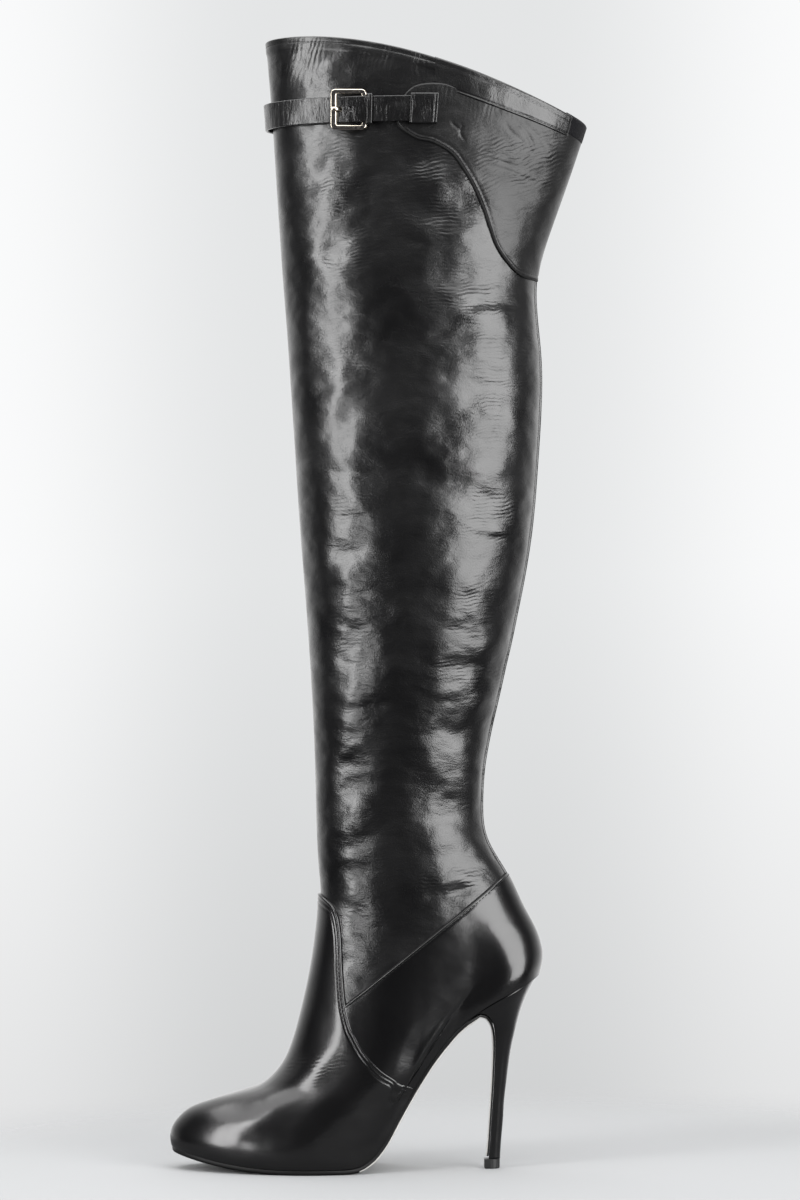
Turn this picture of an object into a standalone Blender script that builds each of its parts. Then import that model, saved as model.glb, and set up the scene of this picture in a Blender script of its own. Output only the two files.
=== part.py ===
# Thigh high boot in black smooth leather, left foot, with a stiletto heel.
# Metres, +Z up. The toe points to -X and the outer side to -Y.
# The origin is the middle of the top lift's underside, where the heel stands.

import math

import bmesh
import bpy
import numpy as np
from mathutils import Vector

MM = 0.001

# Last and sole
FOOT_LENGTH = 226.5 * MM        # toe to heel seat along the floor, at the lasted edge
BALL_WIDTH = 75.0 * MM          # at the lasted edge
HEEL_HEIGHT = 121.3 * MM        # floor to the back of the heel seat
SEAT_OVERHANG = 28.1 * MM       # heel seat's back behind the middle of the top lift
TOE_SPRING = 10.5 * MM
TOE_BOX_HEIGHT = 34.2 * MM      # lasted edge at the toe up to the foot of the instep
TOE_SWING = 3.5 * MM            # toe's turn towards the inner side
ANKLE_ABOVE_SEAT = 46.2 * MM    # front of the ankle above the heel seat
COUNTER_HEIGHT = 63.1 * MM      # counter's back above the heel seat

# Shaft
SHAFT_HEIGHT = 580.7 * MM       # collar's front above the heel seat
COLLAR_DROP = 52.0 * MM         # collar's back below its front
COLLAR_CROWN = 13.3 * MM        # rise of the collar's side over the line from front to back
CALF_DEPTH = 153.0 * MM
CALF_WIDTH = 92.0 * MM

# Thicknesses and fits
GAP = 0.3 * MM
BED_GAP = 0.5 * MM              # between the sole and the lasted edge
LAID_GAP = 0.4 * MM             # between the lasted foot and the pieces laid over it or in it
WALL = 1.8 * MM
MARGIN = 8.0 * MM               # lasting margin turned in under the foot
SOLE_THICKNESS = 3.0 * MM
SOLE_REACH = 1.6 * MM           # sole's edge beyond the lasted edge
INSOLE_THICKNESS = 2.0 * MM
VAMP_THICKNESS = 1.4 * MM
COUNTER_THICKNESS = 1.0 * MM
PANEL_THICKNESS = 1.1 * MM
COLLAR_THICKNESS = 2.0 * MM
ELASTIC_THICKNESS = 1.3 * MM
SEAM_THICKNESS = 0.8 * MM
SEAM_WIDTH = 7.0 * MM

# Heel
TIP_LENGTH = 9.7 * MM
TIP_WIDTH = 9.2 * MM
LIFT_HEIGHT = 6.0 * MM
SEAT_WIDTH = 49.6 * MM

# Strap and buckle
STRAP_WIDTH = 16.0 * MM
STRAP_THICKNESS = 1.6 * MM
CHAPE_THICKNESS = 1.1 * MM
LOOP_THICKNESS = 1.1 * MM
STRAP_BELOW_COLLAR = 46.0 * MM  # strap's middle under the collar's front
BUCKLE_LENGTH = 22.0 * MM
BUCKLE_HEIGHT = 25.0 * MM
BUCKLE_BAR = 3.5 * MM
BUCKLE_RAIL = 2.8 * MM
BUCKLE_DEPTH = 1.8 * MM
BUCKLE_CORNER = 3.0 * MM
BUCKLE_FROM_FRONT = 37.3 * MM   # frame's front edge behind the front of the strap
PRONG_WIDTH = 2.6 * MM
PRONG_DEPTH = 1.4 * MM
STRAP_END_FROM_FRONT = 88.0 * MM
LOOP_LENGTH = 15.0 * MM
KEEPER_LENGTH = 3.2 * MM

# Shape of the lasted edge and the collar
SPRING_END = 0.34               # share of the foot over which the toe rises
SPRING_CURVE = 2.1
SWING_END = 0.45                # share of the foot over which the toe turns inwards
CROWN_LEAN = 0.85               # under 1 brings the collar's highest side point forward
BREAST_SHARE = 0.94             # breast's half width as a share of the heel's
HEEL_WIDEST = 0.4               # where the heel is widest, from breast to back
SOLE_END = 0.805                # share of the foot at which the flap leaves the bed
SEAT_FORWARD = 2.6 * MM         # heel seat's front ahead of the breast's top
HOLE_RADIUS = 2.1 * MM
HOLES = (0.31, 0.62)            # strap's holes behind the frame's front, as shares of its length
KEEPER_BEHIND = 1.2 * MM        # keeper behind the buckle frame
PRONG_RISE = 2.4 * MM           # prong starts to rise this far behind its hole
LIFT_EDGE = 0.6 * MM            # bevel of the top lift

# Facets
COLUMNS = 54                    # columns round the upper; half of them to each side
BACK = COLUMNS // 2
COLUMN_SPREAD = 0.2             # how much closer together the columns stand at the arch
SMOOTH_ANGLE = math.radians(35)
SHORTEST_STEP = 0.15            # columns or levels nearer than this to a piece's end are left out
HEEL_POINTS = 11
VAMP_REACH = 17                 # columns that the vamp may cover to each side of the front
COUNTER_START = 9               # first columns from the front for the pieces further back
PANEL_START = 13
ELASTIC_START = 17
COUNTER_TOP_LEVEL = 12          # highest levels that the laid pieces may cover, and lowest ones
VAMP_TOP_LEVEL = 13
CALF_LEVEL = 16
PANEL_LOW_LEVEL = 20
BAND_LOW_LEVEL = 24
COUNTER_BACK_LEVEL = 11         # row of the foot's table where the counter's seam meets the back

# Levels of the foot, from the lasted edge up to the ankle.
# front and back are shares of the foot's length from the toe. A rise of 0 to 1 goes up the toe
# box or the counter, and what is over 1 up the next named height. outer and inner are half
# widths as shares of the ball width. outline and sag say how much the level keeps of the
# sole's outline and of its dip below the line from toe to heel.
FOOT_LEVELS = [
    # front, front_rise, back, back_rise, outer, inner, outline, sag
    (0.0000, 0.000, 1.0000, 0.000, 0.500, 0.500, 1.00, 1.000),
    (-0.0044, 0.108, 1.0030, 0.043, 0.511, 0.511, 1.00, 0.985),
    (-0.0018, 0.298, 1.0066, 0.098, 0.517, 0.517, 0.97, 0.960),
    (0.0150, 0.474, 1.0088, 0.146, 0.517, 0.517, 0.93, 0.930),
    (0.0459, 0.649, 1.0093, 0.193, 0.511, 0.511, 0.87, 0.880),
    (0.0945, 0.775, 1.0084, 0.241, 0.501, 0.501, 0.80, 0.800),
    (0.1475, 0.877, 1.0053, 0.296, 0.491, 0.491, 0.70, 0.700),
    (0.2137, 1.000, 1.0004, 0.360, 0.480, 0.480, 0.58, 0.580),
    (0.2600, 1.046, 0.9920, 0.439, 0.469, 0.469, 0.45, 0.460),
    (0.3104, 1.163, 0.9775, 0.542, 0.453, 0.453, 0.30, 0.320),
    (0.3488, 1.372, 0.9510, 0.724, 0.437, 0.437, 0.15, 0.180),
    (0.3845, 1.686, 0.9139, 1.000, 0.427, 0.427, 0.05, 0.070),
    (0.4026, 2.000, 0.8623, 1.044, 0.420, 0.420, 0.00, 0.000),
]

# Levels of the shaft, from the ankle up to the collar.
# centre is a share of the foot's length, depth and width are shares of the calf's.
SHAFT_LEVELS = [
    # centre, depth, front_rise, back_rise, width, crown
    (0.6225, 0.668, 2.042, 1.085, 0.685, 0.00),
    (0.6200, 0.680, 2.108, 1.126, 0.717, 0.00),
    (0.6267, 0.713, 2.177, 1.182, 0.772, 0.00),
    (0.6428, 0.792, 2.267, 1.274, 0.870, 0.00),
    (0.6567, 0.875, 2.353, 1.369, 0.946, 0.00),
    (0.6647, 0.942, 2.431, 1.457, 0.989, 0.00),
    (0.6667, 0.982, 2.506, 1.543, 1.000, 0.00),
    (0.6653, 1.021, 2.600, 1.650, 0.989, 0.00),
    (0.6567, 1.024, 2.660, 1.721, 0.978, 0.00),
    (0.6475, 1.029, 2.719, 1.783, 0.967, 0.05),
    (0.6519, 1.073, 2.781, 1.835, 0.957, 0.25),
    (0.6684, 1.150, 2.843, 1.895, 0.935, 0.50),
    (0.6854, 1.231, 2.910, 1.957, 0.924, 0.75),
    (0.6912, 1.299, 3.000, 2.000, 0.913, 1.00),
]

# Height of the lasted edge along the foot: shares of the length and of the heel's rise.
ARCH = [
    # along, rise
    (0.000, 0.000),
    (0.470, 0.000),
    (0.505, 0.008),
    (0.540, 0.046),
    (0.574, 0.123),
    (0.609, 0.245),
    (0.642, 0.359),
    (0.675, 0.465),
    (0.708, 0.562),
    (0.744, 0.651),
    (0.779, 0.727),
    (0.819, 0.790),
    (0.873, 0.861),
    (0.942, 0.934),
    (1.000, 1.000),
    (1.060, 1.070),
]

# Outline of the lasted edge: how far it stands outside or inside a plain oval.
OUTLINE = [
    # along, outer, inner
    (0.00, 0.98, 0.98),
    (0.12, 1.05, 1.07),
    (0.21, 1.07, 1.10),
    (0.29, 1.07, 1.09),
    (0.36, 1.05, 1.03),
    (0.42, 0.99, 0.94),
    (0.48, 0.90, 0.83),
    (0.57, 0.75, 0.70),
    (0.66, 0.69, 0.66),
    (0.75, 0.73, 0.72),
    (0.83, 0.89, 0.89),
    (0.90, 1.10, 1.10),
    (0.95, 1.27, 1.27),
    (1.00, 1.38, 1.38),
]

# Heel and the sole's flap down its breast, from the seat to the tip. front and back are
# shares of the seat's overhang, the ups of the heel's height, width of the seat's width.
HEEL_LEVELS = [
    # front, front_up, back, back_up, width, flap
    (-0.285, 0.788, 0.982, 0.991, 0.992, 0.77),
    (-0.164, 0.780, 0.890, 0.952, 0.899, 0.70),
    (-0.071, 0.750, 0.758, 0.890, 0.734, 0.66),
    (-0.021, 0.709, 0.633, 0.812, 0.581, 0.60),
    (0.000, 0.660, 0.534, 0.725, 0.468, 0.55),
    (0.000, 0.577, 0.420, 0.610, 0.379, 0.50),
    (-0.021, 0.453, 0.327, 0.458, 0.298, 0.50),
    (-0.046, 0.350, 0.270, 0.350, 0.250, 0.50),
    (-0.075, 0.247, 0.242, 0.247, 0.218, 0.50),
    (-0.103, 0.144, 0.203, 0.144, 0.198, 0.50),
    (-0.135, 0.066, 0.181, 0.066, 0.190, 0.50),
]

# Seam lines seen from the side: along and up are shares of the foot's length from the toe
# and of the ankle front's height, for the vamp; the counter's line is straight.
VAMP_EDGE = [
    # up, along
    (0.317, 0.660),
    (0.334, 0.630),
    (0.361, 0.598),
    (0.393, 0.565),
    (0.443, 0.531),
    (0.473, 0.516),
    (0.511, 0.502),
    (0.549, 0.489),
    (0.631, 0.475),
    (0.755, 0.466),
    (0.814, 0.464),
    (0.885, 0.461),
    (0.944, 0.454),
    (0.982, 0.443),
    (1.003, 0.426),
    (1.027, 0.403),
]
VAMP_FOOT = 0.22                # levels over the lasted edge at which the panels end
COUNTER_FOOT = 0.32
COUNTER_TIP_UP = 0.627
COUNTER_TIP_ALONG = 0.480

# Lower edge of the knee panel, from its nose to the back, and the nose's upper edge.
# along is read where the foot and the calf have their drawn sizes, as a share of the foot's
# length from the toe; down is a share of the shaft's height under the collar's front.
PANEL_LOWER_EDGE = [
    # along, down
    (0.611, 0.0860),
    (0.622, 0.0976),
    (0.648, 0.1052),
    (0.673, 0.1103),
    (0.712, 0.1137),
    (0.761, 0.1248),
    (0.792, 0.1401),
    (0.823, 0.1605),
    (0.848, 0.1824),
    (0.867, 0.2044),
    (0.885, 0.2230),
    (0.917, 0.2399),
    (0.954, 0.2518),
    (1.001, 0.2540),
    (1.120, 0.2540),
]
PANEL_NOSE = [
    # along, down
    (0.617, 0.0750),
    (0.634, 0.0640),
    (0.655, 0.0560),
    (0.685, 0.0520),
]
BAND_EDGE = [
    # along, down
    (0.722, 0.0555),
    (1.066, 0.1015),
    (1.150, 0.1130),
]
BAND_FRONT_ALONG = 0.715
BAND_BACK_ALONG = 1.078
FOOT_TO_CALF = 1.4804           # the drawn foot's length as a share of the drawn calf's depth


def smooth_steps(knots, values, at):
    """Value at a place along rows of knots, with no overshoot between them."""
    knots = np.asarray(knots)
    values = np.asarray(values)
    at = min(max(at, knots[0]), knots[-1])
    steps = np.diff(knots)
    slopes = np.diff(values) / steps
    row = min(max(int(np.searchsorted(knots, at)) - 1, 0), len(steps) - 1)

    def lean(i):
        if i == 0 or i == len(steps):
            return slopes[min(i, len(steps) - 1)]
        before, after = slopes[i - 1], slopes[i]
        if before * after <= 0:
            return 0.0
        return 2 * before * after / (before + after)

    t = (at - knots[row]) / steps[row]
    start, end = lean(row) * steps[row], lean(row + 1) * steps[row]
    low, high = values[row], values[row + 1]
    return (low * (2 * t**3 - 3 * t**2 + 1) + start * (t**3 - 2 * t**2 + t)
            + high * (3 * t**2 - 2 * t**3) + end * (t**3 - t**2))


def column(table, index):
    return [row[index] for row in table]


# Heights and places that follow from the named sizes

SEAT_BASE = SOLE_THICKNESS + BED_GAP
INSTEP_CLIMB = HEEL_HEIGHT + ANKLE_ABOVE_SEAT - SEAT_BASE - TOE_SPRING - TOE_BOX_HEIGHT
SHAFT_CLIMB = SHAFT_HEIGHT - ANKLE_ABOVE_SEAT
BACK_CLIMB = SHAFT_HEIGHT - COLLAR_DROP - COUNTER_HEIGHT
TOE_X = SEAT_OVERHANG - FOOT_LENGTH
COLLAR_TOP = HEEL_HEIGHT + SHAFT_HEIGHT
TOE_CLIMBS = (TOE_BOX_HEIGHT, INSTEP_CLIMB, SHAFT_CLIMB)
BACK_CLIMBS = (COUNTER_HEIGHT, BACK_CLIMB)


def along_x(share):
    return TOE_X + share * FOOT_LENGTH


def collar_x(along):
    """Place of a piece round the collar: it keeps its distance from the collar's middle in calf depths."""
    middle = SHAFT_LEVELS[-1][0]
    return along_x(middle) + (along - middle) * FOOT_TO_CALF * CALF_DEPTH


def climbed(base, rise, heights):
    """Height after climbing whole and part steps of the given heights."""
    for height in heights[:-1]:
        base += min(max(rise, 0.0), 1.0) * height
        rise -= 1.0
        if rise <= 0:
            return base
    return base + rise * heights[-1]


def lasted_edge_height(share):
    """Height of the lasted edge: toe spring, flat tread, arch and heel seat."""
    spring = max(0.0, 1.0 - share / SPRING_END) ** SPRING_CURVE
    arch = smooth_steps(column(ARCH, 0), column(ARCH, 1), share)
    return SEAT_BASE + TOE_SPRING * min(spring, 1.0) + (HEEL_HEIGHT - SEAT_BASE) * arch


def level_values():
    """Front and back points, half widths and shares of every level, from the tables."""
    levels = []
    for front, front_rise, back, back_rise, outer, inner, outline, sag in FOOT_LEVELS:
        levels.append((
            along_x(front),
            climbed(SEAT_BASE + TOE_SPRING, front_rise, TOE_CLIMBS),
            along_x(back),
            climbed(HEEL_HEIGHT, back_rise, BACK_CLIMBS),
            outer * BALL_WIDTH, inner * BALL_WIDTH, outline, sag, 0.0))
    for centre, depth, front_rise, back_rise, width, crown in SHAFT_LEVELS:
        half = depth * CALF_DEPTH / 2
        levels.append((
            along_x(centre) - half,
            climbed(SEAT_BASE + TOE_SPRING, front_rise, TOE_CLIMBS),
            along_x(centre) + half,
            climbed(HEEL_HEIGHT, back_rise, BACK_CLIMBS),
            width * CALF_WIDTH / 2, width * CALF_WIDTH / 2, 0.0, 0.0, crown))
    return np.array(levels)


LEVELS = level_values()
TOP = len(LEVELS) - 1


def spline_bends(values):
    """Second derivatives of a cubic spline through evenly spaced rows, free at both ends."""
    count = len(values)
    system = np.zeros((count, count))
    right = np.zeros(values.shape)
    system[0, 0] = 1
    system[-1, -1] = 1
    for i in range(1, count - 1):
        system[i, i - 1:i + 2] = (1, 4, 1)
        right[i] = 6 * (values[i - 1] - 2 * values[i] + values[i + 1])
    return np.linalg.solve(system, right)


BENDS = spline_bends(LEVELS)


def level_at(v):
    row = min(max(int(v), 0), TOP - 1)
    t = v - row
    s = 1 - t
    return (s * LEVELS[row] + t * LEVELS[row + 1]
            + ((s**3 - s) * BENDS[row] + (t**3 - t) * BENDS[row + 1]) / 6)


def outline_share(share, side):
    return smooth_steps(column(OUTLINE, 0), column(OUTLINE, side), share)


def last_point(angle, v):
    """Outside of the upper: angle 0 is the front, pi the back, v the level."""
    front_x, front_z, back_x, back_z, outer, inner, outline, sag, crown = level_at(v)
    share = (1 - math.cos(angle)) / 2
    side = 1 if math.sin(angle) >= 0 else 2
    half = outer if side == 1 else inner
    half *= 1 + outline * (outline_share(share, side) - 1)
    swing = max(outline, 0.0) * TOE_SWING * max(0.0, 1 - share / SWING_END) ** 2
    toe_height = lasted_edge_height(0)
    dip = lasted_edge_height(share) - toe_height - share * (HEEL_HEIGHT - toe_height)
    bow = COLLAR_CROWN * math.sin(math.pi * share ** CROWN_LEAN)
    return Vector((
        front_x + (back_x - front_x) * share,
        swing - half * math.sin(angle),
        front_z + (back_z - front_z) * share + sag * dip + crown * bow))


def last_normal(angle, v):
    step = 0.01
    low = max(v - step, 0)
    high = min(v + step, TOP)
    round_way = last_point(angle + step, v) - last_point(angle - step, v)
    up_way = last_point(angle, high) - last_point(angle, low)
    return round_way.cross(up_way).normalized()


def column_angle(j):
    """Columns stand closer together at the arch than at toe and heel."""
    turn = 2 * math.pi * j / COLUMNS
    return turn + COLUMN_SPREAD * math.sin(2 * turn)


POINTS = [[last_point(column_angle(j), i) for i in range(TOP + 1)] for j in range(COLUMNS)]
NORMALS = [[last_normal(column_angle(j), i) for i in range(TOP + 1)] for j in range(COLUMNS)]


def skin(j, v, out=0.0):
    """Point over the upper at column j and level v, both read along its own facets."""
    left = math.floor(j)
    low = min(max(math.floor(v), 0), TOP - 1)
    s, t = j - left, v - low
    total = Vector((0, 0, 0))
    for col, col_share in ((left, 1 - s), (left + 1, s)):
        for row, row_share in ((low, 1 - t), (low + 1, t)):
            if col_share * row_share:
                place = POINTS[col % COLUMNS][row] + out * NORMALS[col % COLUMNS][row]
                total += col_share * row_share * place
    return total


def halved(test, low, high):
    """Place between low and high where test turns from true to false."""
    for _ in range(40):
        middle = (low + high) / 2
        if test(middle):
            low = middle
        else:
            high = middle
    return (low + high) / 2


def level_of_height(j, height):
    return halved(lambda v: skin(j, v).z < height, 0, TOP)


def column_of_place(x, height, outer=True):
    """Column on the outer or inner side whose point at a height has the given x."""
    side = 1 if outer else -1
    return side * halved(lambda j: skin(side * j, level_of_height(side * j, height)).x < x, 0, BACK)


# Building solids

def material(name, colour, roughness, metallic=0.0):
    made = bpy.data.materials.new(name)
    made.use_nodes = True
    shader = made.node_tree.nodes["Principled BSDF"]
    shader.inputs["Base Color"].default_value = (*colour, 1)
    shader.inputs["Roughness"].default_value = roughness
    shader.inputs["Metallic"].default_value = metallic
    return made


def object_from(name, mesh, finish=None):
    bmesh.ops.remove_doubles(mesh, verts=mesh.verts, dist=1e-7)
    bmesh.ops.recalc_face_normals(mesh, faces=mesh.faces)
    data = bpy.data.meshes.new(name)
    mesh.to_mesh(data)
    mesh.free()
    made = bpy.data.objects.new(name, data)
    bpy.context.scene.collection.objects.link(made)
    if finish:
        data.materials.append(finish)
        data.shade_smooth()
        data.set_sharp_from_angle(angle=SMOOTH_ANGLE)
    return made


def ringed_solid(name, rings, finish, closed=False):
    """Solid through rings of points; closed joins the last ring to the first, else both are capped."""
    mesh = bmesh.new()
    loops = [[mesh.verts.new(point) for point in ring] for ring in rings]
    count = len(rings[0])
    pairs = list(zip(loops, loops[1:]))
    if closed:
        pairs.append((loops[-1], loops[0]))
    for low, high in pairs:
        for i in range(count):
            k = (i + 1) % count
            mesh.faces.new((low[i], low[k], high[k], high[i]))
    if not closed:
        mesh.faces.new(loops[0])
        mesh.faces.new(loops[-1])
    return object_from(name, mesh, finish)


def shell(name, columns, rows, inside, thickness, finish):
    """Plate over the upper between two distances from it."""
    rings = []
    for j in columns:
        up = [skin(j, v, inside + thickness) for v in rows]
        down = [skin(j, v, inside) for v in reversed(rows)]
        rings.append(up + down)
    return grid_plate(name, rings, len(rows), finish)


def grid_plate(name, rings, half, finish):
    """Plate whose rings go up its face and down its back, capped in strips at both ends."""
    mesh = bmesh.new()
    loops = [[mesh.verts.new(point) for point in ring] for ring in rings]
    count = 2 * half
    for low, high in zip(loops, loops[1:]):
        for i in range(count):
            k = (i + 1) % count
            mesh.faces.new((low[i], low[k], high[k], high[i]))
    for loop in (loops[0], loops[-1]):
        for i in range(half - 1):
            mesh.faces.new((loop[i], loop[i + 1], loop[count - 2 - i], loop[count - 1 - i]))
    return object_from(name, mesh, finish)


def keep_inside(piece, outline):
    """Cut a plate to a side outline with a prism that runs right through the boot."""
    reach = 2 * CALF_WIDTH
    mesh = bmesh.new()
    near = [mesh.verts.new((x, -reach, z)) for x, z in outline]
    far = [mesh.verts.new((x, reach, z)) for x, z in outline]
    mesh.faces.new(near)
    mesh.faces.new(far)
    for i in range(len(outline)):
        k = (i + 1) % len(outline)
        mesh.faces.new((near[i], near[k], far[k], far[i]))
    cutter = object_from(piece.name + "_outline", mesh)
    cutter.hide_render = True
    cutter.display_type = "WIRE"
    cut = piece.modifiers.new("outline", "BOOLEAN")
    cut.operation = "INTERSECT"
    cut.object = cutter


def swept(name, columns, profile, finish):
    """Strip round the shaft: profile rows are (height, distance out), read at each column."""
    rings = [[skin(j, level_of_height(j, z), out) for z, out in profile] for j in columns]
    return ringed_solid(name, rings, finish)


def whole_steps(start, end):
    """Start and end, with each whole column or level between them."""
    steps = [start]
    for j in range(math.floor(start) + 1, math.ceil(end)):
        if min(j - start, end - j) > SHORTEST_STEP:
            steps.append(j)
    return steps + [end]


# Upper, its panels and the insole

def edge_point(angle, inward, lift=0.0):
    """Point inside the lasted edge by a distance in plan, and above the bed of the sole."""
    step = 0.01
    ahead = last_point(angle + step, 0)
    behind = last_point(angle - step, 0)
    run = Vector((ahead.x - behind.x, ahead.y - behind.y, 0)).normalized()
    here = last_point(angle, 0)
    x = here.x - run.y * inward
    y = here.y + run.x * inward
    share = (x - TOE_X) / FOOT_LENGTH
    slope = (lasted_edge_height(share + 0.005) - lasted_edge_height(share - 0.005)) / (0.01 * FOOT_LENGTH)
    square = Vector((-slope, 0, 1)).normalized()
    return Vector((x, y, lasted_edge_height(share))) + lift * square


def make_upper(finish):
    angles = [column_angle(j) for j in range(COLUMNS)]
    rings = [[POINTS[j][i] for j in range(COLUMNS)] for i in range(TOP + 1)]
    for i in range(TOP, 0, -1):
        rings.append([skin(j, i, -WALL) for j in range(COLUMNS)])
    rings.append([edge_point(a, WALL, WALL) for a in angles])
    rings.append([edge_point(a, MARGIN, WALL) for a in angles])
    rings.append([edge_point(a, MARGIN) for a in angles])
    ringed_solid("upper", rings, finish, closed=True)


def vamp_line(aside=0.0):
    height = HEEL_HEIGHT + ANKLE_ABOVE_SEAT
    return [(along_x(along) + aside, up * height) for up, along in VAMP_EDGE]


def make_vamp(finish):
    rows = [VAMP_FOOT] + list(range(1, VAMP_TOP_LEVEL + 1))
    columns = range(-VAMP_REACH, VAMP_REACH + 1)
    piece = shell("vamp", columns, rows, LAID_GAP, VAMP_THICKNESS, finish)
    spare = FOOT_LENGTH / 20
    line = vamp_line()
    first_x, first_z = line[0]
    last_x, last_z = line[-1]
    low_z = -TOE_BOX_HEIGHT
    ahead = TOE_X - TOE_BOX_HEIGHT
    outline = [(first_x + spare, low_z), (first_x + spare, first_z)] + line
    outline += [(last_x - spare, last_z + spare), (ahead, last_z + spare), (ahead, low_z)]
    keep_inside(piece, outline)


def make_counter(finish):
    rows = [COUNTER_FOOT] + list(range(1, COUNTER_TOP_LEVEL + 1))
    columns = range(COUNTER_START, COLUMNS - COUNTER_START + 1)
    piece = shell("counter", columns, rows, LAID_GAP, COUNTER_THICKNESS, finish)
    spare = FOOT_LENGTH / 20
    behind = FOOT_LENGTH / 2
    tip_z = COUNTER_TIP_UP * (HEEL_HEIGHT + ANKLE_ABOVE_SEAT)
    tip_x = along_x(COUNTER_TIP_ALONG)
    back_x = along_x(FOOT_LEVELS[COUNTER_BACK_LEVEL][2])
    back_z = HEEL_HEIGHT + COUNTER_HEIGHT
    slope = (back_z - tip_z) / (back_x - tip_x)
    line = [point for point in vamp_line(2 * GAP) if point[1] < tip_z]
    first_x, first_z = line[0]
    outline = [(first_x + spare, 0), (first_x + spare, first_z)] + line
    outline += [(tip_x + 2 * GAP, tip_z), (back_x + behind, back_z + slope * behind), (back_x + behind, 0)]
    keep_inside(piece, outline)


def panel_points(table, drop=0.0):
    return [(collar_x(along), COLLAR_TOP - down * SHAFT_HEIGHT - drop) for along, down in table]


def make_knee_panel(finish):
    columns = range(PANEL_START, COLUMNS - PANEL_START + 1)
    piece = shell("knee_panel", columns, range(PANEL_LOW_LEVEL, TOP + 1), GAP, PANEL_THICKNESS, finish)
    outline = panel_points(PANEL_LOWER_EDGE)
    outline += list(reversed(panel_points(BAND_EDGE, GAP)))
    outline += list(reversed(panel_points(PANEL_NOSE)))
    keep_inside(piece, outline)


def line_through(first, second):
    """Height at any x of the line through two points of the side view."""
    slope = (second[1] - first[1]) / (second[0] - first[0])
    return lambda x: first[1] + slope * (x - first[0])


def make_collar_bands(finish):
    edge = panel_points(BAND_EDGE)
    lower = line_through(edge[0], edge[1])
    front_x, back_x = collar_x(BAND_FRONT_ALONG), collar_x(BAND_BACK_ALONG)
    over = COLLAR_TOP + STRAP_WIDTH
    outline = [(front_x, lower(front_x)), (back_x, lower(back_x)), (back_x, over), (front_x, over)]
    for name, columns in (("collar_band_outer", range(PANEL_START, BACK)),
                          ("collar_band_inner", range(BACK + 1, COLUMNS - PANEL_START + 1))):
        rows = range(BAND_LOW_LEVEL, TOP + 1)
        keep_inside(shell(name, columns, rows, GAP, COLLAR_THICKNESS, finish), outline)


def make_elastic(finish):
    columns = range(ELASTIC_START, COLUMNS - ELASTIC_START + 1)
    piece = shell("elastic_gore", columns, range(BAND_LOW_LEVEL, TOP + 1), GAP, ELASTIC_THICKNESS, finish)
    edge = panel_points(BAND_EDGE)
    lower = line_through(edge[1], edge[2])
    front_x = collar_x(BAND_BACK_ALONG) + GAP
    end_x = edge[2][0] + CALF_WIDTH
    outline = [(front_x, lower(front_x)), (end_x, lower(end_x)), (end_x, COLLAR_TOP), (front_x, COLLAR_TOP)]
    keep_inside(piece, outline)


def make_back_strip(finish):
    spread = abs(skin(BACK + 1, CALF_LEVEL).y - skin(BACK, CALF_LEVEL).y)
    reach = SEAM_WIDTH / 2 / spread
    start = level_of_height(BACK, HEEL_HEIGHT + COUNTER_HEIGHT + 2 * GAP + COUNTER_THICKNESS)
    end = level_of_height(BACK, COLLAR_TOP - PANEL_LOWER_EDGE[-1][1] * SHAFT_HEIGHT - 2 * GAP)
    rows = whole_steps(start, end)
    shell("back_strip", [BACK - reach, BACK, BACK + reach], rows, GAP, SEAM_THICKNESS, finish)


def bed_rows(inward, low, high, angles):
    """Rows across the foot, outer side to inner, for a plate that lies along the sole's bed."""
    rows = []
    for angle in angles:
        outer = edge_point(angle, inward)
        inner = edge_point(-angle, inward)
        ring = []
        for share in (0.0, 0.5, 1.0):
            x = outer.x + (inner.x - outer.x) * share
            y = outer.y + (inner.y - outer.y) * share
            along = (x - TOE_X) / FOOT_LENGTH
            rise = lasted_edge_height(along + 0.005) - lasted_edge_height(along - 0.005)
            square = Vector((-rise / (0.01 * FOOT_LENGTH), 0, 1)).normalized()
            ring.append((Vector((x, y, lasted_edge_height(along))), square))
        rows.append([point + high * square for point, square in ring]
                    + [point + low * square for point, square in reversed(ring)])
    return rows


def half_angles(steps=1):
    """Angles of one side's columns from toe to heel, or of parts of them."""
    return [column_angle(j / steps) for j in range(BACK * steps + 1)]


def make_insole(finish):
    bottom = WALL + LAID_GAP
    rows = bed_rows(WALL + 2 * LAID_GAP, bottom, bottom + INSOLE_THICKNESS, half_angles())
    grid_plate("insole", rows, 3, finish)


# Sole, heel and top lift

def heel_levels():
    """Breast and back points, half width and flap thickness of each level of the heel."""
    levels = []
    for front, front_up, back, back_up, width, flap in HEEL_LEVELS:
        levels.append((
            Vector((front * SEAT_OVERHANG, 0, front_up * HEEL_HEIGHT)),
            Vector((back * SEAT_OVERHANG, 0, back_up * HEEL_HEIGHT)),
            width * SEAT_WIDTH / 2,
            flap * SOLE_THICKNESS))
    return levels


def breast_normals(levels):
    """Square to the breast in the side view, pointing into the heel."""
    points = [level[0] for level in levels]
    normals = []
    for i in range(len(points)):
        run = points[min(i + 1, len(points) - 1)] - points[max(i - 1, 0)]
        normals.append(Vector((-run.z, 0, run.x)).normalized())
    return normals


def make_outsole(finish):
    angles = [a for a in half_angles(2) if (1 - math.cos(a)) / 2 < SOLE_END]
    rows = bed_rows(-SOLE_REACH, -BED_GAP - SOLE_THICKNESS, -BED_GAP, angles)
    levels = heel_levels()
    for (front, back, half, flap), square in zip(levels, breast_normals(levels)):
        inside = front + flap * square
        edge = half * BREAST_SHARE
        high = [inside + Vector((0, y, 0)) for y in (-edge, 0, edge)]
        low = [front + Vector((0, y, 0)) for y in (edge, 0, -edge)]
        rows.append(high + low)
    grid_plate("outsole", rows, 3, finish)


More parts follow.
